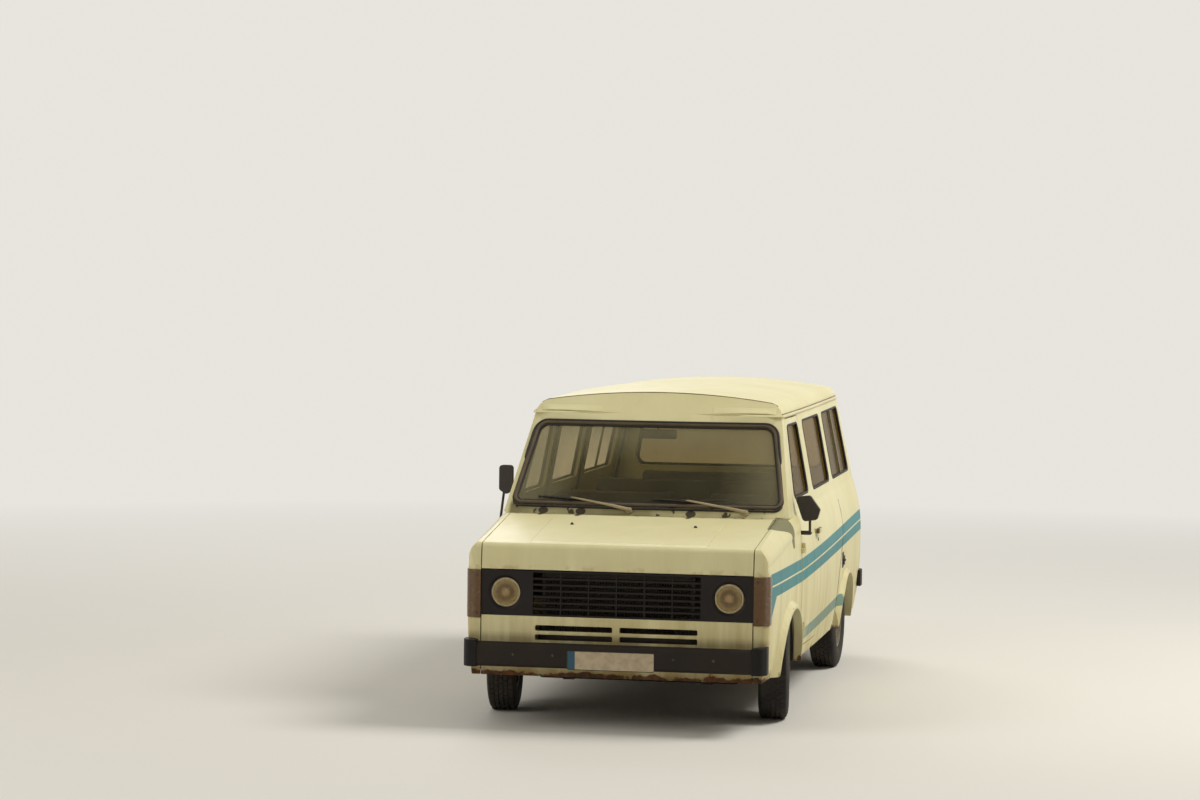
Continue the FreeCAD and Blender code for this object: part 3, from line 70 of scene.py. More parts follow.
# %% A socket that can be calculated with
class Wire:
    """An output socket. Maths on it adds Math nodes to its tree."""

    def __init__(self, net, socket):
        self.net = net
        self.socket = socket

    def part(self, output):
        """Another output of the same node."""
        return Wire(self.net, self.socket.node.outputs[output])

    def maths(self, operation, *others):
        return self.net.maths(operation, self, *others)

    def __rsub__(self, other):
        return self.net.maths("SUBTRACT", other, self)

    __add__ = __radd__ = partialmethod(maths, "ADD")
    __sub__ = partialmethod(maths, "SUBTRACT")
    __mul__ = partialmethod(maths, "MULTIPLY")
    __truediv__ = partialmethod(maths, "DIVIDE")
    __abs__ = partialmethod(maths, "ABSOLUTE")
    at_least = partialmethod(maths, "MAXIMUM")
    at_most = partialmethod(maths, "MINIMUM")

    def wave(self, rate):
        """A sine from 0 to 1."""
        return (self * rate).maths("SINE") * 0.5 + 0.5

    def reach(self, other):
        """The distance that two sides of a right angle span."""
        return (self * self + other * other).maths("SQRT")

    def over(self, edge, soft):
        """0 below an edge and 1 above it, with a soft step between."""
        values = {0: self - edge, 1: 1.0 / soft, 2: 0.5}
        return self.net.add("ShaderNodeMath", values, operation="MULTIPLY_ADD", use_clamp=True)

    def under(self, edge, soft):
        return 1.0 - self.over(edge, soft)

    def within(self, low, high, soft):
        return self.over(low, soft) * self.under(high, soft)


# %% A tree with one method that adds any node
class Net:
    """A node tree. add() takes a node's type, its sockets' values or wires, and its settings."""

    def __init__(self, tree):
        self.tree = tree

    def add(self, kind, values=None, output=0, **settings):
        node = self.tree.nodes.new(kind)
        for name, value in settings.items():
            setattr(node, name, value)
        for name, value in (values or {}).items():
            self.give(node.inputs[name], value)
        return Wire(self, node.outputs[output])

    def give(self, socket, value):
        if isinstance(value, Wire):
            self.tree.links.new(value.socket, socket)
        else:
            socket.default_value = value

    def maths(self, operation, *values):
        return self.add("ShaderNodeMath", dict(enumerate(values)), operation=operation)


# %% A material
def shade(colour):
    """A screen colour, three parts from 0 to 255, becomes linear. Anything else stays as it is."""
    if not isinstance(colour, tuple) or len(colour) != 3:
        return colour
    shares = [value / 255 for value in colour]
    return (*(s / 12.92 if s <= 0.04045 else ((s + 0.055) / 1.055) ** 2.4 for s in shares), 1.0)


class Finish(Net):
    """A material. What is the same all over is set on the shader's own sockets."""

    def __init__(self, name, colour, roughness, **fixed):
        self.material = bpy.data.materials.new(name)
        self.material.use_nodes = True
        super().__init__(self.material.node_tree)
        self.shader = self.tree.nodes["Principled BSDF"]
        self.colour = shade(colour)
        self.shader.inputs["Base Color"].default_value = self.colour
        self.shader.inputs["Roughness"].default_value = roughness
        for socket, value in fixed.items():
            self.shader.inputs[socket.replace("_", " ")].default_value = value
        self.skin = Wire(self, self.shader.outputs["BSDF"])
        self.spot = self.add("ShaderNodeTexCoord", {}, "Object")
        self.x, self.y, self.z = self.axes(self.spot)

    def axes(self, vector):
        first = self.add("ShaderNodeSeparateXYZ", {0: vector}, "X")
        return first, first.part("Y"), first.part("Z")

    def noise(self, scale, detail=3.0, rough=0.55, stretch=None):
        """Cloudy noise from 0 to 1. A stretch squeezes it along the axes."""
        spot = self.spot
        if stretch:
            spot = self.add("ShaderNodeMapping", {"Vector": spot, "Scale": stretch})
        values = {"Vector": spot, "Scale": scale, "Detail": detail, "Roughness": rough}
        return self.add("ShaderNodeTexNoise", values)

    def mix(self, share, first, second):
        """A colour between two, through a Mix node."""
        values = {0: share, 6: shade(first), 7: shade(second)}
        return self.add("ShaderNodeMix", values, 2, data_type="RGBA")

    def cover(self, share, over):
        """Lays a colour over the one so far."""
        self.colour = self.mix(share, self.colour, over)

    def bump(self, height, depth, strength=1.0, **normal):
        values = {"Strength": strength, "Distance": depth, "Height": height, **normal}
        return self.add("ShaderNodeBump", values)

    def feed(self, **wires):
        for name, wire in wires.items():
            self.give(self.shader.inputs[name.replace("_", " ")], wire)

    def blend(self, share, first, second):
        """Shows a mix of two shaders instead of the one."""
        surface = self.add("ShaderNodeMixShader", {0: share, 1: first, 2: second}, "Shader")
        self.give(self.tree.nodes["Material Output"].inputs["Surface"], surface)


def dress(finish, *names):
    """Gives CAD nodes a finish."""
    for name in names:
        mesh = nodes[name].data
        mesh.materials.clear()
        mesh.materials.append(finish.material)
    return finish


print("helpers for materials are ready")

# %% [markdown]
# ## Aged paint with its stripes
# The body is cream paint, some forty years old: slightly green, dull with dust, browner low down,
# with rust that creeps in from the lower edges. Painted shade darkens its lower parts, the cowl, one
# bonnet crease and the left wing's rear top. Two blue stripes run along each side. All panels
# share one material on object coordinates, so a stripe runs on from the wing over the door to the
# rear. It could be an image, but masks worked out from height and length stay sharp at any size.

# %% Where the marks lie on the body
STRIPE_LOW, STRIPE_TOP = 0.801, 0.944
STRIPE_LINE = (0.865, 0.875)
LOWER_STRIPE = (0.409, 0.484)
LOWER_STRIPE_Y = (-0.98, 1.0)
# Behind the front door's edge both stripes climb by this much a metre
STRIPE_CLIMB_Y, STRIPE_CLIMB = -1.0, 0.023
# In front the upper stripe widens downwards by its drop, over its taper's length
STRIPE_FRONT_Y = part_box("indicators")[1].y
STRIPE_DROP, STRIPE_TAPER = 0.128, 0.17
SIDE_X = 0.845
STUBS_X, STUB_Z, STUB_SIZE = (-0.64, -0.40, 0.29), 1.224, (0.032, 0.020)
# Where a painted shade line runs along one edge of the bonnet's raised middle
CREASE_SHADE_X, CREASE_SHADE_Y = (-0.5385, -0.5335), (-2.115, -1.48)
ARCH_Z, ARCH_INNER_X, ARCH_OUTER_X, ARCH_LIP_R = 0.300, 0.905, 0.93, (0.385, 0.402)
# The painted shadow that the cab casts on the left wing's rear top: its ends along the body, inner edge and
# heights, and the bow of its outer front
CAB_SHADOW_FRONT_Y, CAB_SHADOW_REAR_Y, CAB_SHADOW_X, CAB_SHADOW_Z = -1.62, -1.243, 0.812, (1.03, 1.213)
BOW_X, BOW_WIDTH, BOW_LENGTH = 0.84, 0.09, 0.30
# Dirt and painted shade: the cowl, the ledge under the grille and the bonnet's folded edge. Rust: how high it
# reaches
NOSE_Y, DUST_AND_SHADE_TOP_Z, SHELF_Z = -2.10, 0.72, (0.50, 0.555)
COWL_X, COWL_Y, COWL_Z = 0.86, (-1.345, -1.20), 1.195
LIP_Y, LIP_Z = -2.16, (0.925, 0.965)
FRONT_EDGE_Z, LOW_EDGE_Z, RUST_TOP_Z, CHIPS_Z = 0.350, 0.335, 0.42, 1.0


def middle_y(node):
    low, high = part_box(node)
    return (low.y + high.y) / 2


# Where each axle is, and how far the underseal reaches round it
FRONT_AXLE_Y = middle_y("front_axle")
ARCHES = ((FRONT_AXLE_Y, 0.404), (middle_y("rear_axle"), 0.366))
print("stripes start at", round(STRIPE_FRONT_Y, 3), "behind the indicators")


# %% Stripes, and a painted shadow at the left wing's rear top corner
def stripes(paint, cloud, speck):
    """A wide upper stripe split by a thin cream line, and a lower one that has faded in front."""
    x, y, z = paint.x, paint.y, paint.z
    # Only the outer face of a panel carries a stripe
    facing = paint.axes(paint.add("ShaderNodeTexCoord", {}, "Normal"))[0]
    side = abs(x).over(SIDE_X, 0.01) * (facing * x).over(0.25, 0.2)
    narrow = STRIPE_LOW - STRIPE_DROP
    low = (narrow + (y - STRIPE_FRONT_Y) * (STRIPE_DROP / STRIPE_TAPER)).at_most(STRIPE_LOW).at_least(narrow)
    level = z - (y - STRIPE_CLIMB_Y).at_least(0.0) * STRIPE_CLIMB + (speck - 0.5) * 0.003
    upper = level.over(low, 0.003) * level.under(STRIPE_TOP, 0.003) * side
    upper = upper * y.over(STRIPE_FRONT_Y + 0.004, 0.004) * (1.0 - level.within(*STRIPE_LINE, 0.002))
    front, rear = LOWER_STRIPE_Y
    fading = (paint.noise(5.0, 5.0) + (y + 0.9) * 0.6).over(0.60, 0.3) * y.under(rear, 0.02)
    lower = level.within(*LOWER_STRIPE, 0.004) * side * y.over(front, 0.004) * fading
    blue = paint.mix(cloud, (0, 116, 126), (26, 134, 136))
    paint.cover(upper, blue)
    paint.cover(lower * 0.85, blue)
    return upper


def painted_cab_shadow(paint, speck):
    x, y = paint.x, paint.y
    bow = ((x - BOW_X) / BOW_WIDTH).at_least(0.0)
    cab_shadow = y.over(bow * bow * BOW_LENGTH + CAB_SHADOW_FRONT_Y, 0.006) * y.under(CAB_SHADOW_REAR_Y, 0.005)
    cab_shadow = cab_shadow * x.over(CAB_SHADOW_X, 0.003) * paint.z.within(*CAB_SHADOW_Z, 0.006)
    # Painted shadow: the cab's shade on the wing's rear top, in grey-green
    paint.cover(cab_shadow, paint.mix(speck, (118, 118, 90), (140, 138, 106)))
    return cab_shadow


# %% Dirt, painted shade and rust
def dirt(paint, upper, streak):
    """Road dust low down and dirt on the ledge under the grille, both partly painted shade. On the cowl a
    dirt film with painted shade, and dark spots that are partly a painted shadow under the rubber. A dirty
    bonnet edge, and a painted shade line along one bonnet crease.
    """
    x, y, z = paint.x, paint.y, paint.z
    front = y.under(NOSE_Y, 0.06)
    # Road dust and painted shade: darker and browner low down, most at the nose
    dust = (z.under(DUST_AND_SHADE_TOP_Z, 0.8) * (0.6 + front * 0.4) + 0.12) * streak.over(0.40, 0.5)
    paint.cover(dust * (0.65 - upper * 0.45), (152, 128, 66))
    # Dirt and painted shade on the ledge under the grille, above the bumper
    shelf_dirt_and_shade = front * z.within(*SHELF_Z, 0.04)
    paint.cover(shelf_dirt_and_shade * streak.over(0.35, 0.4) * 0.5, (112, 92, 56))
    cowl = y.within(*COWL_Y, 0.03) * z.over(COWL_Z, 0.02) * abs(x).under(COWL_X, 0.02)
    # A cloudy dirt film with painted shade on the cowl, heavier on the vehicle's right
    film = cowl * (paint.noise(3.2, 3.0, 0.5).over(0.45, 0.25) * 0.5 + x.under(0.25, 0.5) * 0.5)
    paint.cover(film * 0.8, (106, 96, 54))
    # Dark spots and three stubs under the windscreen's foot: dirt and clips, partly a painted shadow under
    # the rubber
    cowl_spots_and_shadow = cowl * paint.noise(19.0, 3.0, 0.5, (1.0, 0.6, 0.6)).over(0.62, 0.05)
    for stub_x in STUBS_X:
        across, upward = (x - stub_x) / STUB_SIZE[0], (z - STUB_Z) / STUB_SIZE[1]
        stub = (across * across + upward * upward).under(1.0, 0.3) * y.under(COWL_Y[1], 0.02)
        cowl_spots_and_shadow = cowl_spots_and_shadow.at_least(stub)
    paint.cover(cowl_spots_and_shadow * 0.92, (44, 35, 26))
    lip = z.within(*LIP_Z, 0.02) * y.under(LIP_Y, 0.02)
    paint.cover(lip * paint.noise(11.0, 5.0).over(0.56, 0.1) * 0.3, (140, 112, 76))
    # Painted shade: a dark line along the raised middle's edge, on the vehicle's right only
    crease_shade = x.within(*CREASE_SHADE_X, 0.002) * y.within(*CREASE_SHADE_Y, 0.01) * z.over(1.0, 0.01)
    paint.cover(crease_shade * 0.7, (104, 92, 60))
    return dust, film


def underseal(paint, speck):
    """Black underseal inside the wheel arches."""
    below = paint.z - ARCH_Z
    for axle_y, arch_r in ARCHES:
        along = paint.y - axle_y
        inside = (below * below + along * along).under(arch_r * arch_r, 0.012)
        inside = inside * abs(paint.x).under(ARCH_INNER_X, 0.012)
        paint.cover(inside, paint.mix(speck, (34, 29, 23), (58, 50, 38)))


def rusted(paint, streak):
    """Rust along the lower edges, round the front wheel arches and in chips. The brown along the lower front
    edge and the darker rust brown are partly painted shade from under the front bumper.
    """
    y, z = paint.y, paint.z
    blotch = paint.noise(15.0, 6.0, 0.65)
    front_edge = z.under(FRONT_EDGE_Z, 0.04) * y.under(NOSE_Y + 0.2, 0.05)
    arch = (z - ARCH_Z).reach(y - FRONT_AXLE_Y)
    arch_edge = arch.within(*ARCH_LIP_R, 0.01) * abs(paint.x).over(ARCH_OUTER_X, 0.01)
    # Dirt and painted shade: brown along the lower front edge, under the bumper
    paint.cover(front_edge * streak.over(0.30, 0.4) * 0.7, (128, 98, 56))
    reach = front_edge * 0.11 + z.under(LOW_EDGE_Z, 0.03) * 0.16 + arch_edge * 0.10
    reach = reach + paint.noise(4.5, 3.0, 0.5) * 0.5 + blotch * 0.6
    rust = reach.over(0.76, 0.06) * z.under(RUST_TOP_Z + arch_edge * 0.5, 0.03)
    cells = paint.add("ShaderNodeTexVoronoi", {"Vector": paint.spot, "Scale": 26.0}, "Distance")
    rust = rust.at_least(cells.under(0.09, 0.03) * blotch.over(0.66, 0.02) * z.under(CHIPS_Z, 0.2))
    # Rust browns; the darker one is partly painted shade
    brown = paint.mix(paint.noise(28.0, 4.0).over(0.46, 0.2), (104, 54, 28), (56, 36, 22))
    paint.cover(rust * 0.92, brown)
    return rust


# %% The body's paint
def body_paint():
    paint = Finish("aged cream paint", (230, 222, 177), 0.42, Specular_IOR_Level=0.32, Coat_Weight=0.06,
                   Coat_Roughness=0.2)
    cloud, speck = paint.noise(1.7, 4.0), paint.noise(34.0, 3.0, 0.6)
    streak = paint.noise(9.0, 4.0, 0.6, (1.0, 1.0, 0.12))
    paint.colour = paint.mix(cloud.over(0.52, 0.5), (234, 228, 184), (221, 213, 163))
    upper = stripes(paint, cloud, speck)
    cab_shadow = painted_cab_shadow(paint, speck)
    dust, film = dirt(paint, upper, streak)
    underseal(paint, speck)
    rust = rusted(paint, streak)
    # Orange peel, and edges that read as pressed steel
    edge = paint.add("ShaderNodeBevel", {"Radius": 0.0035}, samples=4)
    height = speck * 0.25 + rust * -0.8 + paint.noise(3.0, 1.0) * 1.5
    roughness = 0.34 + dust * 0.4 + rust * 0.45 + cab_shadow * 0.4 + film * 0.3 + cloud * 0.1
    relief = paint.bump(height, 0.0012, 0.6, Normal=edge)
    paint.feed(Base_Color=paint.colour, Roughness=roughness, Normal=relief)
    return paint


paint = dress(body_paint(), "front_panel", "wing_left", "wing_right", "cowl", "windscreen_frame", "roof",
              "side_left", "side_right", "rear_frame", "bonnet", "door_left", "door_right", "side_door",
              "tailgate")
print("paint has", len(paint.tree.nodes), "nodes")

# %% [markdown]
# ## The other finishes
# Sun-greyed plastic, glass with a film of dust, rubber, lamp glass, rusty steel and vinyl. Each is
# a colour that varies, a roughness that varies with it, and a little relief. Real old plastic is
# never one black: its top greys in the sun and its pores hold dust.

# %% Plastic, rubber and metal
def worn(name, dark, pale, roughness, grain, relief, **fixed):
    """A finish that clouds between two colours and has a fine grain."""
    finish = Finish(name, dark, roughness, **fixed)
    cloud = finish.noise(6.0, 5.0, 0.6)
    fine = finish.noise(grain, 3.0, 0.6)
    colour = finish.mix(cloud.over(0.5, 0.5) * 0.7 + fine * 0.3, dark, pale)
    rough = roughness - 0.08 + cloud * 0.18
    finish.feed(Base_Color=colour, Roughness=rough, Normal=finish.bump(fine, relief))
    return finish


plastic = worn("sun-greyed plastic", (34, 28, 24), (58, 50, 43), 0.52, 420.0, 0.0004)
grille_plastic = worn("louvre plastic", (18, 13, 11), (36, 29, 26), 0.5, 300.0, 0.0003,
                      Specular_IOR_Level=0.25)
bumper_plastic = worn("bumper coating", (26, 20, 15), (44, 36, 28), 0.6, 160.0, 0.0005,
                      Specular_IOR_Level=0.25)
cap_plastic = worn("bumper end rubber", (12, 10, 9), (24, 20, 17), 0.55, 260.0, 0.0004,
                   Specular_IOR_Level=0.25)
arm_paint = worn("dusty wiper paint", (128, 114, 86), (196, 182, 146), 0.45, 200.0, 0.0003)
dull_steel = worn("dull steel", (52, 44, 34), (92, 82, 66), 0.55, 240.0, 0.0003, Metallic=0.4)
post_paint = worn("dull window post paint", (112, 104, 72), (142, 132, 94), 0.6, 200.0, 0.0003)
rubber = worn("seal rubber", (18, 16, 14), (40, 35, 29), 0.6, 200.0, 0.0004)
grey_rubber = worn("bleached seal rubber", (58, 50, 40), (112, 97, 72), 0.7, 180.0, 0.0004)
chassis_paint = worn("chassis paint", (30, 28, 26), (72, 60, 48), 0.7, 60.0, 0.001)
floor_paint = worn("floor paint", (70, 66, 58), (98, 92, 80), 0.75, 90.0, 0.0008)
cast_iron = worn("cast iron", (62, 58, 54), (88, 76, 64), 0.65, 150.0, 0.001, Metallic=0.6)
rusty_pipe = worn("rusty pipe", (84, 56, 38), (118, 82, 56), 0.8, 120.0, 0.001, Metallic=0.3)
bright_steel = worn("bright steel", (150, 148, 142), (186, 184, 176), 0.3, 240.0, 0.0002, Metallic=0.9)
vinyl = worn("cabin vinyl", (46, 42, 37), (62, 57, 49), 0.5, 500.0, 0.0004)
for finish, names in (
        (plastic, ("dashboard", "steering_wheel", "mirror_left", "mirror_right")),
        (grille_plastic, ("grille_panel",)), (cap_plastic, ("bumper_caps",)), (rubber, ("mudflaps",)),
        (bumper_plastic, ("front_bumper", "rear_bumper")),
        (floor_paint, ("floor",)), (rusty_pipe, ("exhaust",)),
        (chassis_paint, ("chassis", "rear_axle", "front_axle", "seat_frames", "fuel_tank", "track_rod")),
        (cast_iron, ("engine", "knuckle_left", "knuckle_right"))):
    dress(finish, *names)
print("dressed", sum(bool(o.data.materials) for o in nodes.values()), "nodes")


# %% Glass that shows the cabin
def window_glass(name, tint, body_colour, cover, dust, edge_haze=0.0, shine=0.8):
    """Clear glass as a mix: what passes through, and what the surface mirrors or holds as dust."""
    glass = Finish(name, body_colour, 0.06, Specular_IOR_Level=0.6 * shine)
    haze = glass.noise(3.2, 5.0, 0.6)
    fine = glass.noise(90.0, 2.0)
    film = (haze.over(0.55, 0.4) * 0.6 + fine * 0.4) * dust
    if edge_haze:
        wiped = abs(glass.x).under(0.60, 0.35) * glass.z.under(1.62, 0.2)
        film = film + (1.0 - wiped) * edge_haze * (haze * 0.8 + 0.5)
    glass.feed(Roughness=film * 0.3 + 0.03)
    clear = glass.add("ShaderNodeBsdfTransparent", {"Color": tint}, "BSDF")
    gloss = glass.add("ShaderNodeFresnel", {"IOR": 1.5})
    glass.blend((film + cover + gloss * shine).at_most(0.9), clear, glass.skin)
    return glass


screen_glass = window_glass("windscreen glass", (0.98, 0.98, 0.95, 1.0), (160, 154, 122), 0.01, 0.07, 0.34)
side_glass = window_glass("dusty side glass", (0.95, 0.87, 0.68, 1.0), (118, 94, 50), 0.05, 0.10, 0.0, 0.35)
tail_glass = window_glass("dusty rear glass", (0.60, 0.52, 0.34, 1.0), (120, 104, 72), 0.10, 0.26, 0.0, 0.5)
dress(screen_glass, "windscreen")
dress(side_glass, "side_glass", "side_door_glass", "door_glass_left", "door_glass_right")
dress(tail_glass, "tailgate_glass")


# %% Lenses
def lens_finish(name, deep, pale, ribs, axis):
    """Coloured lens plastic with moulded ribs."""
    lens = Finish(name, deep, 0.18, Coat_Weight=0.25, Coat_Roughness=0.08, Specular_IOR_Level=0.4)
    wave = getattr(lens, axis).wave(ribs)
    cloud = lens.noise(14.0, 3.0)
    colour = lens.mix(wave * 0.35 + cloud * 0.5, deep, pale)
    lens.feed(Base_Color=colour, Roughness=0.16 + cloud * 0.2, Normal=lens.bump(wave, 0.0015))
    return lens


dress(lens_finish("browned amber lens", (74, 46, 18), (122, 88, 38), 900.0, "z"), "indicators")
print("glass and lenses are ready")

# %% [markdown]
# ## Shapes in mesh code
# Small parts such as wiper arms and lamp bowls are boxes, rods and turned profiles. The class below
# collects such solids in one mesh, with their edges rounded, because a sharp box never looks real.

# %% A collector of solids
class Form:
    """Collects solids in one mesh."""

    def __init__(self):
        self.bm = bmesh.new()

    def box(self, corner, other, bevel=0.002, steps=2, matrix=None):
        """A box with rounded edges between two opposite corners."""
        low, high = (Vector(map(pick, corner, other)) for pick in (min, max))
        shape = Matrix.Translation((low + high) / 2) @ Matrix.Diagonal((*(high - low), 1.0))
        verts = bmesh.ops.create_cube(self.bm, size=1.0, matrix=shape)["verts"]
        edges = list(dict.fromkeys(edge for vert in verts for edge in vert.link_edges))
        made = bmesh.ops.bevel(self.bm, geom=edges, offset=bevel, segments=steps, profile=0.5,
                               affect="EDGES", clamp_overlap=True)
        if matrix is not None:
            verts = [vert for vert in verts if vert.is_valid]
            verts += [vert for face in made["faces"] for vert in face.verts]
            bmesh.ops.transform(self.bm, matrix=matrix, verts=list(dict.fromkeys(verts)))

    def prism(self, outline, direction):
        """A closed polygon pushed along a direction."""
        first = [self.bm.verts.new(p) for p in outline]
        second = [self.bm.verts.new(Vector(p) + Vector(direction)) for p in outline]
        faces = [self.bm.faces.new(first), self.bm.faces.new(list(reversed(second)))]
        for i in range(len(outline)):
            j = (i + 1) % len(outline)
            faces.append(self.bm.faces.new((first[j], first[i], second[i], second[j])))
        bmesh.ops.recalc_face_normals(self.bm, faces=faces)
        return self

    def rod(self, start, end, radius, end_radius=None, sides=20):
        start, end = Vector(start), Vector(end)
        along = end - start
        turn = along.to_track_quat("Z", "Y").to_matrix().to_4x4()
        bmesh.ops.create_cone(self.bm, cap_ends=True, segments=sides, radius1=radius,
                              radius2=radius if end_radius is None else end_radius,
                              depth=along.length, matrix=Matrix.Translation((start + end) / 2) @ turn)

    def turned(self, profile, centre, axis, steps=40, matrix=None):
        """A profile of (distance along the axis, radius) turned round the axis."""
        turn = Vector(axis).to_track_quat("Z", "Y").to_matrix().to_4x4()
        place = Matrix.Translation(centre) @ turn
        rings = []
        for along, radius in profile:
            if radius < 1e-6:
                rings.append([self.bm.verts.new(place @ Vector((0, 0, along)))])
                continue
            ring = []
            for i in range(steps):
                angle = 2 * math.pi * i / steps
                spot = Vector((radius * math.cos(angle), radius * math.sin(angle), along))
                ring.append(self.bm.verts.new(place @ spot))
            rings.append(ring)
        faces = []
        for a, b in zip(rings, rings[1:]):
            for i in range(steps):
                j = (i + 1) % steps
                corners = [a[i % len(a)], a[j % len(a)], b[j % len(b)], b[i % len(b)]]
                corners = [v for n, v in enumerate(corners) if v not in corners[:n]]
                if len(corners) > 2:
                    faces.append(self.bm.faces.new(corners))
        bmesh.ops.recalc_face_normals(self.bm, faces=faces)
        if matrix is not None:
            bmesh.ops.transform(self.bm, matrix=matrix, verts=[v for ring in rings for v in ring])

    def mesh(self, name):
        mesh = bpy.data.meshes.new(name)
        self.bm.to_mesh(mesh)
        self.bm.free()
        return mesh

    def done(self, name, finish, body="root", slot=DARK, smooth=35.0):
        return place(name, self.mesh(name), finish, body, slot, smooth)


def place(name, mesh, finish, body="root", slot=DARK, smooth=35.0):
    """Links a mesh as a piece of the object that rides on a body."""
    mesh.name = name
    if not mesh.materials:
        mesh.materials.append(finish.material)
    mesh.shade_smooth()
    mesh.set_sharp_from_angle(angle=math.radians(smooth))
    piece = bpy.data.objects.new(name, mesh)
    scene.collection.objects.link(piece)
    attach(piece, body)
    return piece


print("helpers for shapes are ready")

# %% [markdown]
# ## Rubber round the windows
# Each pane sits in a rubber strip. The strip follows the pane's edge over a curved skin, so it is
# the same profile swept along many paths: a job for Geometry Nodes. The path is found by looking
# at the pane from outside along one axis and noting where each point of its outline hits.

# %% A geometry tree that can be run on any mesh
class Tree(Net):
    """A Geometry Nodes tree with named sizes and a material."""

    def __init__(self, name, **sizes):
        super().__init__(bpy.data.node_groups.new(name, "GeometryNodeTree"))
        face = self.tree.interface
        face.new_socket("Geometry", in_out="INPUT", socket_type="NodeSocketGeometry")
        for label, value in sizes.items():
            kind = "NodeSocketInt" if isinstance(value, int) else "NodeSocketFloat"
            face.new_socket(label, in_out="INPUT", socket_type=kind).default_value = value
        face.new_socket("Material", in_out="INPUT", socket_type="NodeSocketMaterial")
        face.new_socket("Geometry", in_out="OUTPUT", socket_type="NodeSocketGeometry")
        self.start = self.tree.nodes.new("NodeGroupInput")

    def __getitem__(self, label):
        return Wire(self, self.start.outputs[label])

    def end(self, geometry):
        real = self.add("GeometryNodeRealizeInstances", {0: geometry})
        finished = self.add("GeometryNodeSetMaterial", {0: real, "Material": self["Material"]})
        last = self.tree.nodes.new("NodeGroupOutput")
        self.tree.links.new(finished.socket, last.inputs[0])
        return self

    def grow(self, mesh, finish, **sizes):
        """Runs the tree on a mesh and gives a plain mesh."""
        seed = bpy.data.objects.new("seed", mesh)
        scene.collection.objects.link(seed)
        modifier = seed.modifiers.new("grow", "NODES")
        modifier.node_group = self.tree
        values = {**sizes, "Material": finish.material}
        for item in self.tree.interface.items_tree:
            if item.in_out == "INPUT" and item.name in values:
                modifier[item.identifier] = values[item.name]
        result = baked(seed)
        bpy.data.objects.remove(seed)
        return result


def path_mesh(points, closed=True):
    """A chain of edges, as the seed of a sweep."""
    mesh = bpy.data.meshes.new("path")
    count = len(points)
    edges = [(i, (i + 1) % count) for i in range(count if closed else count - 1)]
    mesh.from_pydata([tuple(p) for p in points], edges, [])
    return mesh


def baked(piece):
    """The mesh that a piece's modifiers make."""
    graph = bpy.context.evaluated_depsgraph_get()
    return bpy.data.meshes.new_from_object(piece.evaluated_get(graph), depsgraph=graph)


# %% The strip tree
def strip_tree():
    tree = Tree("strip along an edge", Radius=0.008, Squash=1.0, Sides=10)
    path = tree.add("GeometryNodeMeshToCurve", {"Mesh": tree["Geometry"]})
    ring = tree.add("GeometryNodeCurvePrimitiveCircle", {"Resolution": tree["Sides"],
                                                         "Radius": tree["Radius"]}, mode="RADIUS")
    flat = tree.add("ShaderNodeCombineXYZ", {"X": tree["Squash"], "Y": 1.0, "Z": 1.0})
    ring = tree.add("GeometryNodeTransform", {"Geometry": ring, "Scale": flat})
    sizes = {"Curve": path, "Profile Curve": ring, "Fill Caps": True}
    return tree.end(tree.add("GeometryNodeCurveToMesh", sizes))


STRIP = strip_tree()


def sweep(name, points, finish, body="root", slot=DARK, closed=True, **sizes):
    """A strip along points, as a piece of the object."""
    return place(name, STRIP.grow(path_mesh(points, closed), finish, **sizes), finish, body, slot)


print("strip tree has", len(STRIP.tree.nodes), "nodes")


# %% A tree for screws, nuts and buttons
def fastener_tree():
    """One head at each point of the seed, turned to face along the point's own direction."""
    tree = Tree("fasteners", Radius=0.006, Height=0.003, Taper=0.7, Sides=12)
    radius, height = tree["Radius"], tree["Height"]
    head = tree.add("GeometryNodeMeshCone", {
        "Vertices": tree["Sides"], "Radius Top": radius * tree["Taper"], "Radius Bottom": radius,
        "Depth": height})
    facing = tree.add("GeometryNodeInputNamedAttribute", {"Name": "facing"}, data_type="FLOAT_VECTOR")
    turn = tree.add("FunctionNodeAlignRotationToVector", {"Vector": facing}, axis="Z")
    return tree.end(tree.add("GeometryNodeInstanceOnPoints",
                             {"Points": tree["Geometry"], "Instance": head, "Rotation": turn}))


FASTENERS = fastener_tree()


def fasten(name, spots, finish, body, slot, **sizes):
    """Puts a head on each of the (point, direction) spots of one body."""
    mesh = bpy.data.meshes.new("spots")
    mesh.from_pydata([tuple(point) for point, _ in spots], [], [])
    facing = mesh.attributes.new("facing", "FLOAT_VECTOR", "POINT")
    for item, (_, direction) in zip(facing.data, spots):
        item.vector = direction
    return place(name, FASTENERS.grow(mesh, finish, **sizes), finish, body, slot)


print("fastener tree has", len(FASTENERS.tree.nodes), "nodes")


# %% Panes and their outlines
def islands(name):
    """Lowest and highest corner of each separate solid in a node."""
    bm = bmesh.new()
    bm.from_mesh(nodes[name].data)
    bmesh.ops.remove_doubles(bm, verts=bm.verts, dist=1e-5)
    boxes, left = [], dict.fromkeys(bm.verts)
    while left:
        group = [next(iter(left))]
        del left[group[0]]
        for vert in group:
            for edge in vert.link_edges:
                other = edge.other_vert(vert)
                if other in left:
                    del left[other]
                    group.append(other)
        boxes.append(tuple(Vector(pick(v.co[i] for v in group) for i in range(3)) for pick in (min, max)))
    bm.free()
    return boxes


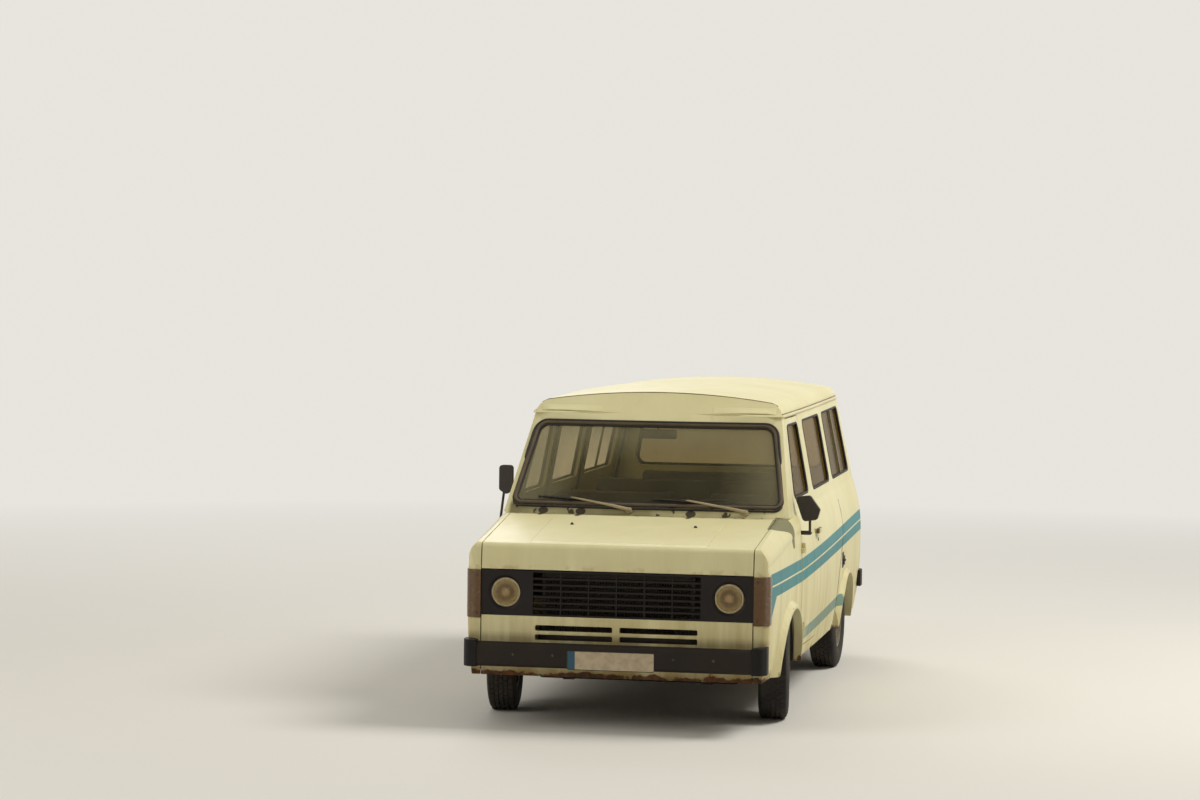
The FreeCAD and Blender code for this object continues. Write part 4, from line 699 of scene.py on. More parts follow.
def rounded(corners, radii, steps=6, spacing=0.04):
    """Points round a polygon with rounded corners, evenly spaced on its straight sides."""
    points = []
    count = len(corners)
    bends = []
    for i in range(count):
        radius = radii[i] if isinstance(radii, (list, tuple)) else radii
        here, before, after = (Vector(corners[k % count]) for k in (i, i - 1, i + 1))
        to_before, to_after = (before - here).normalized(), (after - here).normalized()
        half = to_before.angle(to_after) / 2
        reach = radius / math.tan(half)
        centre = here + (to_before + to_after).normalized() * radius / math.sin(half)
        start, end = here + to_before * reach - centre, here + to_after * reach - centre
        sweep = math.atan2(start.x * end.y - start.y * end.x, start.dot(end))
        bends.append([centre + Matrix.Rotation(sweep * k / steps, 2) @ start for k in range(steps + 1)])
    for i in range(count):
        points += bends[i]
        start, end = bends[i][-1], bends[(i + 1) % count][0]
        extra = int((end - start).length / spacing)
        points += [start.lerp(end, k / (extra + 1)) for k in range(1, extra + 1)]
    return points


def skin_tree(*names):
    """One search tree over several CAD nodes."""
    verts, faces = [], []
    for name in names:
        mesh = nodes[name].data
        offset = len(verts)
        verts += [v.co.copy() for v in mesh.vertices]
        faces += [tuple(offset + i for i in p.vertices) for p in mesh.polygons]
    return BVHTree.FromPolygons(verts, faces)


CAST_FROM = 3.5


def cast(tree, points, axis, sign, lift):
    """Where points of a flat outline meet a surface, seen along an axis from a distance away."""
    found = []
    for u, v in points:
        place_at, heading = [u, v], [0.0, 0.0]
        place_at.insert(axis, CAST_FROM * sign)
        heading.insert(axis, -sign)
        origin, direction = Vector(place_at), Vector(heading)
        hit, normal, _, _ = tree.ray_cast(origin, direction)
        if hit is None:
            continue
        if normal.dot(direction) > 0:
            normal = -normal
        found.append(hit + normal * lift)
    return found


# %% A thin slab laid on a surface
def slab(tree, axis, sign, us, vs, near, far):
    """A closed sheet between two distances off a surface, over the net of places us by vs. The far
    distance is one number, or a function of u and v."""
    bm = bmesh.new()
    sheets = []
    for lift in (near, far):
        def corner(u, v):
            return cast(tree, [(u, v)], axis, sign, lift(u, v) if callable(lift) else lift)[0]

        sheets.append([[bm.verts.new(corner(u, v)) for u in us] for v in vs])
    low, top = sheets
    wide, high = len(us), len(vs)
    for i in range(high - 1):
        for k in range(wide - 1):
            for sheet in sheets:
                bm.faces.new((sheet[i][k], sheet[i][k + 1], sheet[i + 1][k + 1], sheet[i + 1][k]))
    rim = [(0, k) for k in range(wide)] + [(i, wide - 1) for i in range(1, high)]
    rim += [(high - 1, k) for k in range(wide - 2, -1, -1)] + [(i, 0) for i in range(high - 2, 0, -1)]
    for (i, k), (m, n) in zip(rim, rim[1:] + rim[:1]):
        bm.faces.new((low[i][k], low[m][n], top[m][n], top[i][k]))
    bmesh.ops.recalc_face_normals(bm, faces=bm.faces)
    mesh = bpy.data.meshes.new("slab")
    bm.to_mesh(mesh)
    bm.free()
    return mesh


def spread(low, high, count):
    return [low + (high - low) * i / (count - 1) for i in range(count)]


# %% Strips round every pane
PANE_INSET = 0.004
PANE_DEPTH = 0.014
CORNER_R = 0.042


def side_strip(name, node, body, low, high, front_slant, sign, radius=0.009):
    """A strip round a side pane between two corners of its box."""
    y0, z0, y1, z1 = low.y + PANE_INSET, low.z + PANE_INSET, high.y - PANE_INSET, high.z - PANE_INSET
    corners = [(y0, z0), (y1, z0), (y1, z1), (y0 + front_slant, z1)]
    points = cast(skin_tree(node), rounded(corners, CORNER_R), 0, sign, PANE_DEPTH * 0.6)
    sweep(name, points, rubber, body, Radius=radius)


DOOR_PANE_SLANT = 0.202
for word, sign in SIDES:
    low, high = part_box("door_glass_" + word)
    side_strip("door_seal_" + word, "door_glass_" + word, "door_" + word, low, high, DOOR_PANE_SLANT, sign)
low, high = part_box("side_door_glass")
side_strip("side_door_seal", "side_door_glass", "side_door", low, high, 0.0, RIGHT)
for number, (low, high) in enumerate(sorted(islands("side_glass"), key=lambda pane: pane[0].y)):
    sign = LEFT if low.x > 0 else RIGHT
    side_strip(f"pane_seal_{number + 1}", "side_glass", "root", low, high, 0.0, sign)


def end_strip(name, tree, body, outline, finish, sign, lift, **sizes):
    """A strip round the windscreen or the rear pane, seen along the vehicle."""
    points = cast(tree, outline, 1, sign, lift)
    sweep(name, points, finish, body, **sizes)


def trapezoid(node, inset, top_share):
    low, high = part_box(node)
    half, top = high.x - inset, high.x * top_share - inset
    return [(-half, low.z + inset), (half, low.z + inset), (top, high.z - inset), (-top, high.z - inset)]


# The windscreen's rubber is broad: a bleached band between two black lips
SCREEN_TOP_SHARE = 764 / 862
SCREEN_CORNERS = (0.045, 0.045, 0.080, 0.080)
SCREEN_TREE = skin_tree("windscreen", "windscreen_frame")
# Columns: name, distance inside the opening, how much smaller its corners are, radius, lift, finish
for name, inset, shrink, radius, lift, finish in (
        ("windscreen_lip_outer", -0.009, -0.009, 0.0075, 0.003, rubber),
        ("windscreen_seal", 0.007, 0.004, 0.0125, 0.008, grey_rubber),
        ("windscreen_lip_inner", 0.021, 0.012, 0.0065, 0.003, rubber)):
    corners = [radius_at - shrink for radius_at in SCREEN_CORNERS]
    ring = rounded(trapezoid("windscreen", inset, SCREEN_TOP_SHARE), corners)
    end_strip(name, SCREEN_TREE, "root", ring, finish, -1, lift, Radius=radius, Sides=12)
TAIL_TOP_SHARE = (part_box("tailgate_glass")[1].x - 0.070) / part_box("tailgate_glass")[1].x
ring = rounded(trapezoid("tailgate_glass", PANE_INSET, TAIL_TOP_SHARE), 0.060)
TAIL_TREE = skin_tree("tailgate_glass")
end_strip("tailgate_seal", TAIL_TREE, "tailgate", ring, rubber, 1, 0.008, Radius=0.013, Sides=12)
print("strips laid round", 3 + len(islands("side_glass")) + 2, "panes")

# %% The post between the two rear side panes
POST_Y, POST_HALF = 1.615, 0.017
for word, sign in SIDES:
    pane_low, pane_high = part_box("side_glass")
    mesh = slab(skin_tree("side_glass"), 0, sign, spread(POST_Y - POST_HALF, POST_Y + POST_HALF, 3),
                spread(pane_low.z + 0.004, pane_high.z - 0.004, 12), 0.0005, 0.011)
    place("window_post_" + word, mesh, post_paint, "root", "paint")
print("the rear side panes are divided at", POST_Y)

# %% [markdown]
# ## Tyres with a tread
# The CAD tyre is a smooth ring of the right size. A real one has ribs cut into blocks. The rubber
# ring is turned from a profile, and a tree sets the blocks round it: one block, placed many times
# round a circle, in five rows that are shifted against each other.

# %% The tread tree
TYRE_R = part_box("tyre_rear_left")[1].z / 2
TREAD_DEPTH = 0.008
TREAD_ROWS = (-0.058, -0.029, 0.0, 0.029, 0.058)
BLOCKS = 52


def tread_tree():
    tree = Tree("tread row", Radius=0.32, Depth=0.008, Width=0.024, Offset=0.0, Turn=0.0, Count=60)
    radius, count = tree["Radius"], tree["Count"]
    circle = tree.add("GeometryNodeMeshCircle", {"Vertices": count, "Radius": radius})
    pitch = radius * (2 * math.pi) / count
    size = tree.add("ShaderNodeCombineXYZ", {"X": tree["Depth"], "Y": pitch * 0.95, "Z": tree["Width"]})
    block = tree.add("GeometryNodeMeshCube", {"Size": size})
    outward = tree.add("GeometryNodeInputPosition")
    facing = tree.add("FunctionNodeAlignRotationToVector", {"Vector": outward}, axis="X", pivot_axis="Z")
    blocks = tree.add("GeometryNodeInstanceOnPoints",
                      {"Points": circle, "Instance": block, "Rotation": facing})
    turn = tree.add("ShaderNodeCombineXYZ", {"Z": tree["Turn"]})
    shift = tree.add("ShaderNodeCombineXYZ", {"Z": tree["Offset"]})
    row = tree.add("GeometryNodeTransform", {"Geometry": blocks, "Translation": shift, "Rotation": turn})
    return tree.end(tree.add("GeometryNodeTransform", {"Geometry": row, "Rotation": (0.0, math.pi / 2, 0.0)}))


TREAD = tread_tree()


def tyre_finish():
    tyre = Finish("dusty tyre rubber", (30, 27, 25), 0.8)
    dusty = tyre.noise(7.0, 5.0, 0.6)
    fine = tyre.noise(240.0, 2.0)
    colour = tyre.mix(dusty.over(0.55, 0.4), (28, 25, 23), (62, 54, 44))
    tyre.feed(Base_Color=colour, Roughness=0.7 + dusty * 0.2, Normal=tyre.bump(fine, 0.0005))
    return tyre


tyre_rubber = tyre_finish()


# %% One tyre at each wheel
STEER = math.radians(7.0)
CORNERS = ("front_left", "front_right", "rear_left", "rear_right")
BEAD_R = 0.1785
# A block's depth, and how far its outer face stays inside the tyre's own radius
BLOCK_DEPTH, BLOCK_INSET = TREAD_DEPTH + 0.002, 0.0006
SHOULDER, SHOULDER_WIDTH, MIDDLE_WIDTH = 0.05, 0.026, 0.0215
# Every second row is turned on by this angle
ROW_TURN = 0.05


def wheel_at(corner):
    """The side that a wheel is on, and the matrix that sets a shape at its centre."""
    low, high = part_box("tyre_" + corner)
    steer = STEER if corner.startswith("front") else 0.0
    turn = Matrix.Translation((low + high) / 2) @ Matrix.Rotation(steer, 4, "Z")
    return (LEFT if corner.endswith("left") else RIGHT), turn


def tyre_profile(outer, inner):
    """Across one tyre, from bead to bead: (sideways, radius)."""
    half = [(0.068, inner), (0.0705, inner + 0.012), (0.084, inner + 0.030), (0.0905, inner + 0.052),
            (0.0922, inner + 0.078), (0.0905, inner + 0.098), (0.0895, inner + 0.100),
            (0.0885, outer - 0.038), (0.083, outer - 0.020), (0.075, outer - 0.009),
            (0.069, outer - TREAD_DEPTH - 0.001)]
    return half + [(-u, r) for u, r in reversed(half)]


for corner in CORNERS:
    sign, turn = wheel_at(corner)
    tyre = Form()
    profile = tyre_profile(TYRE_R, BEAD_R)
    tyre.turned(profile + profile[:1], (0, 0, 0), (sign, 0, 0), 72)
    for number, offset in enumerate(TREAD_ROWS):
        row = TREAD.grow(bpy.data.meshes.new("seed"), tyre_rubber, Count=BLOCKS, Depth=BLOCK_DEPTH,
                         Radius=TYRE_R - BLOCK_DEPTH / 2 - BLOCK_INSET, Turn=ROW_TURN * (number % 2),
                         Width=MIDDLE_WIDTH if abs(offset) < SHOULDER else SHOULDER_WIDTH, Offset=offset)
        tyre.bm.from_mesh(row)
    bmesh.ops.transform(tyre.bm, matrix=turn, verts=tyre.bm.verts)
    made = tyre.done("tread_" + corner, tyre_rubber, "wheel_" + corner, "tyre_rubber")
    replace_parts(made, "tyre_" + corner)
    print(made.name, len(made.data.polygons), "faces")

# %% [markdown]
# ## Pressed-steel wheels
# The rims are pressed steel, once light grey, now dull, with rust freckles and brake dust near the
# middle. The finish works outwards from nothing but noise, because a wheel turns and its dirt with it.

# %% Rim paint
def rim_finish():
    rim = Finish("wheel paint", (132, 126, 108), 0.5, Metallic=0.1)
    cloud = rim.noise(18.0, 5.0, 0.6)
    rust = rim.noise(60.0, 5.0, 0.7).over(0.62, 0.08)
    rim.colour = rim.mix(cloud, (140, 134, 114), (104, 98, 84))
    rim.cover(rust, (96, 58, 34))
    rim.feed(Base_Color=rim.colour, Roughness=0.45 + rust * 0.4, Normal=rim.bump(cloud, 0.0006))
    return rim


wheel_paint = dress(rim_finish(), *("rim_" + corner for corner in CORNERS))

# %% Nuts and grease caps
NUTS, NUT_RING = 5, 0.066
HUB_FACE = 0.024
# Along the axle from the hub's face, and the radius there
CAP = ((-0.002, 0.0), (-0.002, 0.036), (0.004, 0.036), (0.006, 0.031), (0.024, 0.029), (0.029, 0.022),
       (0.031, 0.0))
for corner in CORNERS:
    sign, turn = wheel_at(corner)
    outward = turn.to_3x3() @ Vector((sign, 0, 0))
    spots = []
    for i in range(NUTS):
        angle = 2 * math.pi * (i + 0.25) / NUTS
        spot = Vector((HUB_FACE * sign, NUT_RING * math.cos(angle), NUT_RING * math.sin(angle)))
        spots.append((turn @ spot, outward))
    fasten("wheel_nuts_" + corner, spots, bright_steel, "wheel_" + corner, "cast_metal",
           Radius=0.0105, Height=0.016, Taper=0.86, Sides=6)
    cap = Form()
    cap.turned([(HUB_FACE + along, radius) for along, radius in CAP], (0, 0, 0), (sign, 0, 0), 32, turn)
    cap.done("grease_cap_" + corner, wheel_paint, "wheel_" + corner, "wheel_paint")
print("each wheel has", NUTS, "nuts")

# %% [markdown]
# ## Lamps
# Each headlamp is a bowl of bright metal behind a ribbed, yellowed glass. Modelled as two pieces,
# a bowl and a domed lens, the lamp catches light at different depths, as a flat disc never does.

# %% Headlamps
LAMP_X, LAMP_Z, LAMP_R = 0.672, 0.802, 0.0887
LAMP_FACE_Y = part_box("headlamps")[0].y


def lamp_glass():
    glass = Finish("yellowed lamp glass", (190, 170, 122), 0.12, Specular_IOR_Level=0.6, Coat_Weight=0.5)
    flutes = glass.x.wave(620.0)
    bars = (glass.z * 210.0).maths("SINE").over(0.8, 0.3)
    grime = glass.noise(26.0, 4.0, 0.6)
    across, upward = abs(glass.x) - LAMP_X, glass.z - LAMP_Z
    radius = across.reach(upward)
    ring = radius.within(0.026, 0.054, 0.016)
    glass.colour = glass.mix(grime, (190, 166, 108), (152, 126, 74))
    # Painted reflection: a dark ring and a bright centre stand for the bowl and bulb seen through the glass;
    # the bright rim is a painted highlight
    glass.cover(ring * 0.75, (98, 70, 40))
    glass.cover(radius.under(0.016, 0.012), (196, 160, 122))
    glass.cover(radius.over(0.079, 0.006), (214, 200, 156))
    glass.feed(Base_Color=glass.colour, Normal=glass.bump(flutes * 0.7 + bars * 0.5, 0.002),
               Roughness=0.12 + grime * 0.15)
    clear = glass.add("ShaderNodeBsdfTransparent", {"Color": (0.92, 0.85, 0.64, 1.0)}, "BSDF")
    glass.blend(0.34 + grime * 0.2 + flutes * 0.10 + radius.over(0.076, 0.01) * 0.4, clear, glass.skin)
    return glass


lens_glass = lamp_glass()
mirror_metal = worn("lamp mirror", (204, 196, 172), (224, 218, 198), 0.30, 200.0, 0.0001, Metallic=0.7)
AHEAD = (0, 1, 0)
DOME_BACK, DOME_DEPTH = 0.013, 0.0125
# Depth behind the lamp's face, and the radius there
BOWL = ((0.016, LAMP_R - 0.0015), (0.03, LAMP_R - 0.004), (0.055, 0.066), (0.072, 0.040), (0.078, 0.018),
        (0.078, 0.0), (0.082, 0.0), (0.082, 0.020), (0.076, 0.044), (0.058, 0.070), (0.032, LAMP_R - 0.001),
        (0.016, LAMP_R - 0.0005), (0.016, LAMP_R - 0.0015))
BULB = ((0.030, 0.0), (0.030, 0.013), (0.036, 0.017), (0.052, 0.017), (0.078, 0.012))
angles = [step * math.pi / 16 for step in range(9)]
dome = [(DOME_BACK - DOME_DEPTH * math.cos(a), LAMP_R * math.sin(a)) for a in angles]
back = [(along + 0.003, radius * 0.985) for along, radius in reversed(dome)]
lenses, bowls = Form(), Form()
for sign in (LEFT, RIGHT):
    centre = (LAMP_X * sign, LAMP_FACE_Y, LAMP_Z)
    lenses.turned(dome + back, centre, AHEAD, 48)
    bowls.turned(BOWL, centre, AHEAD, 48)
    bowls.turned(BULB, centre, AHEAD, 24)
lamp = lenses.done("headlamp_lenses", lens_glass, "root", "lamp_glass", 60.0)
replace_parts(lamp, "headlamps")
bowls.done("headlamp_bowls", mirror_metal, "root", "lamp_glass", 50.0)
lens_spots = []
SCREW_IN = Vector((0.022, 0, 0.030))
for low, high in islands("indicators"):
    sign = LEFT if low.x > 0 else RIGHT
    x = (min(abs(low.x), abs(high.x)) + SCREW_IN.x) * sign
    for z in (low.z + SCREW_IN.z, high.z - SCREW_IN.z):
        hit = cast(skin_tree("indicators"), [(x, z)], 1, -1, 0.0005)[0]
        lens_spots.append((hit, Vector((0, -1, 0))))
fasten("lens_screws", lens_spots, dull_steel, "root", "cast_metal", Radius=0.0055, Height=0.003, Taper=0.7)
print("lamps stand at height", LAMP_Z, "with", len(lens_spots), "lens screws")

# %% The radiator behind the louvres
RADIATOR_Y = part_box("grille_panel")[1].y + 0.035
FINS, FIELD_SIZE, FIELD_Z = 56, (0.86, 0.36), 0.735


def fin_tree():
    tree = Tree("radiator fins", Width=0.9, Height=0.3, Depth=0.02, Thickness=0.004, Count=56)
    width, count = tree["Width"], tree["Count"]
    size = tree.add("ShaderNodeCombineXYZ", {"X": tree["Thickness"], "Y": tree["Depth"], "Z": tree["Height"]})
    fin = tree.add("GeometryNodeMeshCube", {"Size": size})
    start = tree.add("ShaderNodeCombineXYZ", {"X": width * -0.5})
    step = tree.add("ShaderNodeCombineXYZ", {"X": width / (count - 1.0)})
    values = {"Count": count, "Start Location": start, "Offset": step}
    row = tree.add("GeometryNodeMeshLine", values, mode="OFFSET")
    return tree.end(tree.add("GeometryNodeInstanceOnPoints", {"Points": row, "Instance": fin}))


fin_mesh = fin_tree().grow(bpy.data.meshes.new("seed"), chassis_paint, Width=FIELD_SIZE[0],
                           Height=FIELD_SIZE[1], Count=FINS)
fin_mesh.transform(Matrix.Translation((0.0, RADIATOR_Y + 0.012, FIELD_Z)))
place("radiator_fins", fin_mesh, chassis_paint)
TANKS_Z, FRAME_X = (0.535, 0.905), 0.45
tank = Form()
for z in TANKS_Z:
    tank.box((-FRAME_X, RADIATOR_Y, z - 0.020), (FRAME_X, RADIATOR_Y + 0.030, z + 0.020), 0.006)
foot, head = TANKS_Z[0] - 0.020, TANKS_Z[1] + 0.020
for x in (-FRAME_X, FRAME_X):
    tank.box((x - 0.012, RADIATOR_Y, foot), (x + 0.012, RADIATOR_Y + 0.026, head), 0.003)
tank.done("radiator_frame", chassis_paint)
print("radiator has", FINS, "fins")


# %% Tail lamps
AMBER_FOOT_Z, RED_FOOT_Z = 0.925, 0.825


def tail_finish():
    """Three stacked fields: amber on top, red below, clear at the foot."""
    lamp = lens_finish("tail lamp", (120, 16, 14), (168, 34, 26), 800.0, "x")
    upper = lamp.z.over(AMBER_FOOT_Z, 0.001)
    lower = lamp.z.under(RED_FOOT_Z, 0.001)
    lamp.colour = lamp.mix(upper, (140, 24, 18), (176, 92, 22))
    lamp.cover(lower, (188, 184, 170))
    lamp.feed(Base_Color=lamp.colour)
    return lamp


tails = Form()
low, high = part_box("tail_lamps")
inner_x = min(abs(pane[0].x) for pane in islands("tail_lamps") if pane[0].x > 0)
RIM = 0.006
for sign in (LEFT, RIGHT):
    tails.box((inner_x * sign, low.y, low.z), (high.x * sign, low.y + 0.010, high.z), 0.004)
    tails.box(((inner_x + RIM) * sign, low.y + RIM, low.z + RIM),
              ((high.x - RIM) * sign, high.y, high.z - RIM), 0.007, 3)
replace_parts(tails.done("tail_lamp_lenses", tail_finish(), "root", "red_lens"), "tail_lamps")

# %% [markdown]
# ## Wipers
# Two wipers rest at the foot of the windscreen, both swept towards the vehicle's right. Each has a
# pivot on the cowl, a sprung arm that stands off the glass, and a blade that lies on it. The blade's
# points are found on the glass itself, so it bends with the pane.

# %% Wiper parts
GLASS_TREE = skin_tree("windscreen")
WIPERS = ((-0.095, -0.475), (0.625, 0.245))
WIPER_PIVOT_Z = 1.232
BLADE_HALF, BLADE_Z, BLADE_DROP = 0.21, 1.290, 0.010


def glass_point(x, z, lift):
    return cast(GLASS_TREE, [(x, z)], 1, -1, lift)[0]


def blade_height(share):
    """The blade lies lowest at its end away from the pivot."""
    return BLADE_Z - BLADE_DROP * share


OUT = Vector((0, -0.86, 0.5)).normalized()
COWL_TREE = skin_tree("windscreen_frame", "cowl")
for number, (pivot_x, tip_x) in enumerate(WIPERS, 1):
    arm, blade = Form(), Form()
    base = COWL_TREE.ray_cast(Vector((pivot_x, -3.0, WIPER_PIVOT_Z)), Vector(AHEAD))[0]
    base.y += 0.004
    arm.rod(base, base + OUT * 0.018, 0.023, 0.020)
    arm.rod(base + OUT * 0.018, base + OUT * 0.032, 0.015, 0.011)
    tip = glass_point(tip_x, blade_height(0.0), 0.030)
    knee = (base + OUT * 0.026).lerp(tip, 0.30) + Vector((0, -0.012, 0.004))
    arm.rod(base + OUT * 0.024, knee, 0.0125, 0.0095, 10)
    arm.rod(knee, tip, 0.0085, 0.0055, 10)
    shares = [step / 6 - 1 for step in range(13)]
    lip, spine = ([glass_point(tip_x + share * BLADE_HALF, blade_height(share), lift) for share in shares]
                  for lift in (0.006, 0.016))
    sweep(f"wiper_rubber_{number}", lip, rubber, closed=False, Radius=0.0055, Squash=0.6)
    sweep(f"wiper_spine_{number}", spine[1:-1], plastic, closed=False, Radius=0.0045)
    blade.box(tip + Vector((-0.022, -0.006, -0.014)), tip + Vector((0.022, 0.014, 0.006)), 0.003)
    blade.done(f"wiper_clip_{number}", plastic)
    arm.done(f"wiper_arm_{number}", arm_paint)
print("wipers rest on the glass")

# %% [markdown]
# ## The number plates
# The real plates carry a registration, so here they stay blank: white, with the blue strip at the
# left end, in a thin black frame. The paint is worn where grit hits it.

# %% Blank plates
PLATE = (0.520, 0.110)
PLATE_X, PLATE_STRIP = -0.013, 0.046


def plate_finish():
    plate = Finish("blank plate", (200, 190, 164), 0.4, Coat_Weight=0.3)
    grime = plate.noise(22.0, 4.0, 0.6)
    strip = plate.x.under(PLATE_X - PLATE[0] / 2 + PLATE_STRIP, 0.0006)
    plate.colour = plate.mix(grime.over(0.55, 0.3) * 0.6, (182, 166, 138), (142, 124, 96))
    plate.cover(strip, (0, 68, 90))
    plate.feed(Base_Color=plate.colour, Roughness=0.35 + grime * 0.2)
    return plate


plate_face = plate_finish()


def make_plate(name, middle, body, outward):
    """A plate with a raised rim, facing along Y."""
    half_w, half_h = PLATE[0] / 2, PLATE[1] / 2
    face = Form()
    half = Vector((half_w, 0, half_h))
    face.box(middle - half, middle + half + Vector((0, 0.0015 * outward, 0)), 0.0006, 1)
    face.done(name, plate_face, body, "lamp_glass")
    rim = [(middle.x + half_w * u, middle.z + half_h * v) for u, v in ((-1, -1), (1, -1), (1, 1), (-1, 1))]
    path = [Vector((p.x, middle.y + 0.001 * outward, p.y)) for p in rounded(rim, 0.010)]
    sweep(name + "_rim", path, plastic, body, Radius=0.0022)


REAR_PLATE_Z, BOLT_Z = 0.74, 0.445
bumper_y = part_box("front_bumper")[0].y
make_plate("front_plate", Vector((PLATE_X, bumper_y - 0.0006, 0.4215)), "root", -1)
bolts = [(Vector((x, bumper_y - 0.001, BOLT_Z)), Vector((0, -1, 0))) for x in (-0.60, -0.36, 0.36, 0.60)]
fasten("bumper_bolts", bolts, dull_steel, "root", "cast_metal", Radius=0.009, Height=0.004, Taper=0.6)
tail_y = skin_tree("tailgate").ray_cast(Vector((0.0, 3.0, REAR_PLATE_Z)), Vector((0, -1, 0)))[0].y
make_plate("rear_plate", Vector((PLATE_X, tail_y + 0.003, REAR_PLATE_Z)), "tailgate", 1)

# %% [markdown]
# ## Roof seams
# Folded drip rails run along the roof, and sealant fills the joint above them. Forty years have
# browned it. A second seam crosses the roof behind the windscreen's header. Both are one more sweep
# along a path that is found on the panels.

# %% Seams
rail_finish = worn("browned sealant", (94, 74, 44), (148, 128, 82), 0.6, 80.0, 0.0006)
roof_low, roof_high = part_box("roof")
BODY_TREE = skin_tree("roof", "side_left", "side_right", "windscreen_frame", "rear_frame")
SEAM_Z, SEAM_STEP, SEAM_HALF = 1.8225, 0.06, 0.752
SEAM = {"slot": "paint", "closed": False, "Radius": 0.0045, "Sides": 8}
stations = [roof_low.y - 0.10 + i * SEAM_STEP for i in range(51)]
stations = [y for y in stations if y < roof_high.y - 0.06]
for word, sign in SIDES:
    path = cast(BODY_TREE, [(y, SEAM_Z) for y in stations], 0, sign, 0.003)
    sweep("roof_seam_" + word, path, rail_finish, **SEAM)
across = cast(BODY_TREE, [(x, roof_low.y) for x in spread(-SEAM_HALF, SEAM_HALF, 41)], 2, 1, 0.0005)
sweep("roof_seam_front", across, rail_finish, **SEAM)
print("seams run from", round(path[0].y, 2), "to", round(path[-1].y, 2))

# %% The bonnet's raised middle runs out gently at the front
SWAGE_HALF, SWAGE_END_Y, SWAGE_RISE = 0.534, -2.1052, 0.0040
SWAGE_RUN = 0.055


def ramp(x, y):
    share = min(1.0, max(0.0, 1.0 - (SWAGE_END_Y - y) / SWAGE_RUN))
    return 0.0002 + (SWAGE_RISE - 0.0002) * share ** 1.5


mesh = slab(skin_tree("bonnet"), 2, 1, spread(-SWAGE_HALF, SWAGE_HALF, 24),
            spread(SWAGE_END_Y - SWAGE_RUN, SWAGE_END_Y, 6), -0.0003, ramp)
place("bonnet_swage", mesh, paint, "bonnet", "paint", 60.0)

# %% A soft brow over the windscreen's corners
# The drip rails turn in over the windscreen. Filler has rounded the step above and below them.
FRAME_TREE, BROW_X = skin_tree("windscreen_frame"), (0.350, 0.745)
RAIL_LOW, RAIL_TOP, BROW_RUN = 1.808, 1.822, 0.040
RAIL_MIDDLE, CORNER_X, CORNER_RUN = 1.815, 0.748, 0.06


def rail_rise(x):
    """How far the rail stands off the header at x."""
    heights = (RAIL_LOW - 0.001, RAIL_MIDDLE, RAIL_TOP + 0.001)
    below, face, above = cast(FRAME_TREE, [(x, z) for z in heights], 1, -1, 0.0)
    off = face - below.lerp(above, 0.5)
    lean = (above - below).normalized()
    return (off - lean * off.dot(lean)).length


def brow(x, z):
    """Full height at the rail, nothing one run away from it, and thin again at the outer corner."""
    share = max(0.0, 1.0 - min(abs(z - RAIL_LOW), abs(z - RAIL_TOP)) / BROW_RUN)
    corner = min(1.0, max(0.0, (CORNER_X - abs(x)) / CORNER_RUN))
    return 0.0003 + max(0.0, rail_rise(x) - 0.0003) * share * share * (3 - 2 * share) * corner


for word, sign in SIDES:
    xs = [x * sign for x in spread(*BROW_X, 24)]
    for part, edge, run in (("low", RAIL_LOW, -BROW_RUN), ("top", RAIL_TOP, BROW_RUN)):
        zs = sorted((edge + math.copysign(0.0005, run), edge + run))
        mesh = slab(FRAME_TREE, 1, -1, xs, spread(*zs, 8), -0.0003, brow)
        place("brow_" + part + "_" + word, mesh, paint, "root", "paint", 60.0)
print("rail stands off by", [round(rail_rise(x), 4) for x in (0.36, 0.5, 0.6, 0.7, 0.74)])

# %% Washer jets on the bonnet
JETS, JETS_Y = (-0.38, 0.38), -1.64
spots = [(cast(skin_tree("bonnet"), [(x, JETS_Y)], 2, 1, 0.001)[0], Vector((0, -0.2, 1))) for x in JETS]
fasten("washer_jets", spots, plastic, "bonnet", "dark_plastic", Radius=0.012, Height=0.010, Taper=0.5)
print("washer jets at", [tuple(round(v, 3) for v in point) for point, _ in spots])

# %% [markdown]
# ## Soft seats
# A seat cushion is cloth over foam: crowned, pulled in between its corners, and flat only where it
# rests. Each starts as a rounded block, is remeshed, and is inflated by a cloth simulation whose
# movement is capped. The sewn channels come after that, pressed in along the seat.

# %% Cushions by simulation
SEAT_VOXEL = 0.020
SEAT_SWELL = 0.022
SEAT_FRAMES = 14
SEAT_PRESSURE = 4.0


def seat_cloth():
    cloth = Finish("worn seat cloth", (70, 66, 58), 0.85, Sheen_Weight=0.3)
    weave = (cloth.x * 1400.0).maths("SINE") * (cloth.z * 1400.0 + cloth.y * 1400.0).maths("SINE")
    wear = cloth.noise(5.0, 4.0)
    colour = cloth.mix(wear.over(0.5, 0.4), (62, 58, 50), (96, 90, 78))
    cloth.feed(Base_Color=colour, Roughness=0.8 + wear * 0.15, Normal=cloth.bump(weave, 0.0006))
    return cloth


seat_finish = seat_cloth()


def simulate(piece):
    """Inflates a closed mesh a little and caps how far each point moves."""
    start = [v.co.copy() for v in piece.data.vertices]
    cloth = piece.modifiers.new("inflate", "CLOTH")
    cloth.settings.use_pressure = True
    cloth.settings.uniform_pressure_force = SEAT_PRESSURE
    cloth.settings.effector_weights.gravity = 0.0
    cloth.settings.quality = 4
    cloth.point_cache.frame_start = 1
    cloth.point_cache.frame_end = SEAT_FRAMES
    for number in range(1, SEAT_FRAMES + 1):
        scene.frame_set(number)
    swollen = baked(piece)
    piece.modifiers.remove(cloth)
    scene.frame_set(1)
    for vert, old, new in zip(piece.data.vertices, start, swollen.vertices):
        move = new.co - old
        vert.co = old + move * min(1.0, SEAT_SWELL / max(move.length, 1e-9))


SEAT_INSET, SEAT_EDGE = 0.016, 0.035
CHANNEL_WIDTH, CHANNEL_DEPTH, CHANNEL_SHARP = 0.11, 0.010, 6


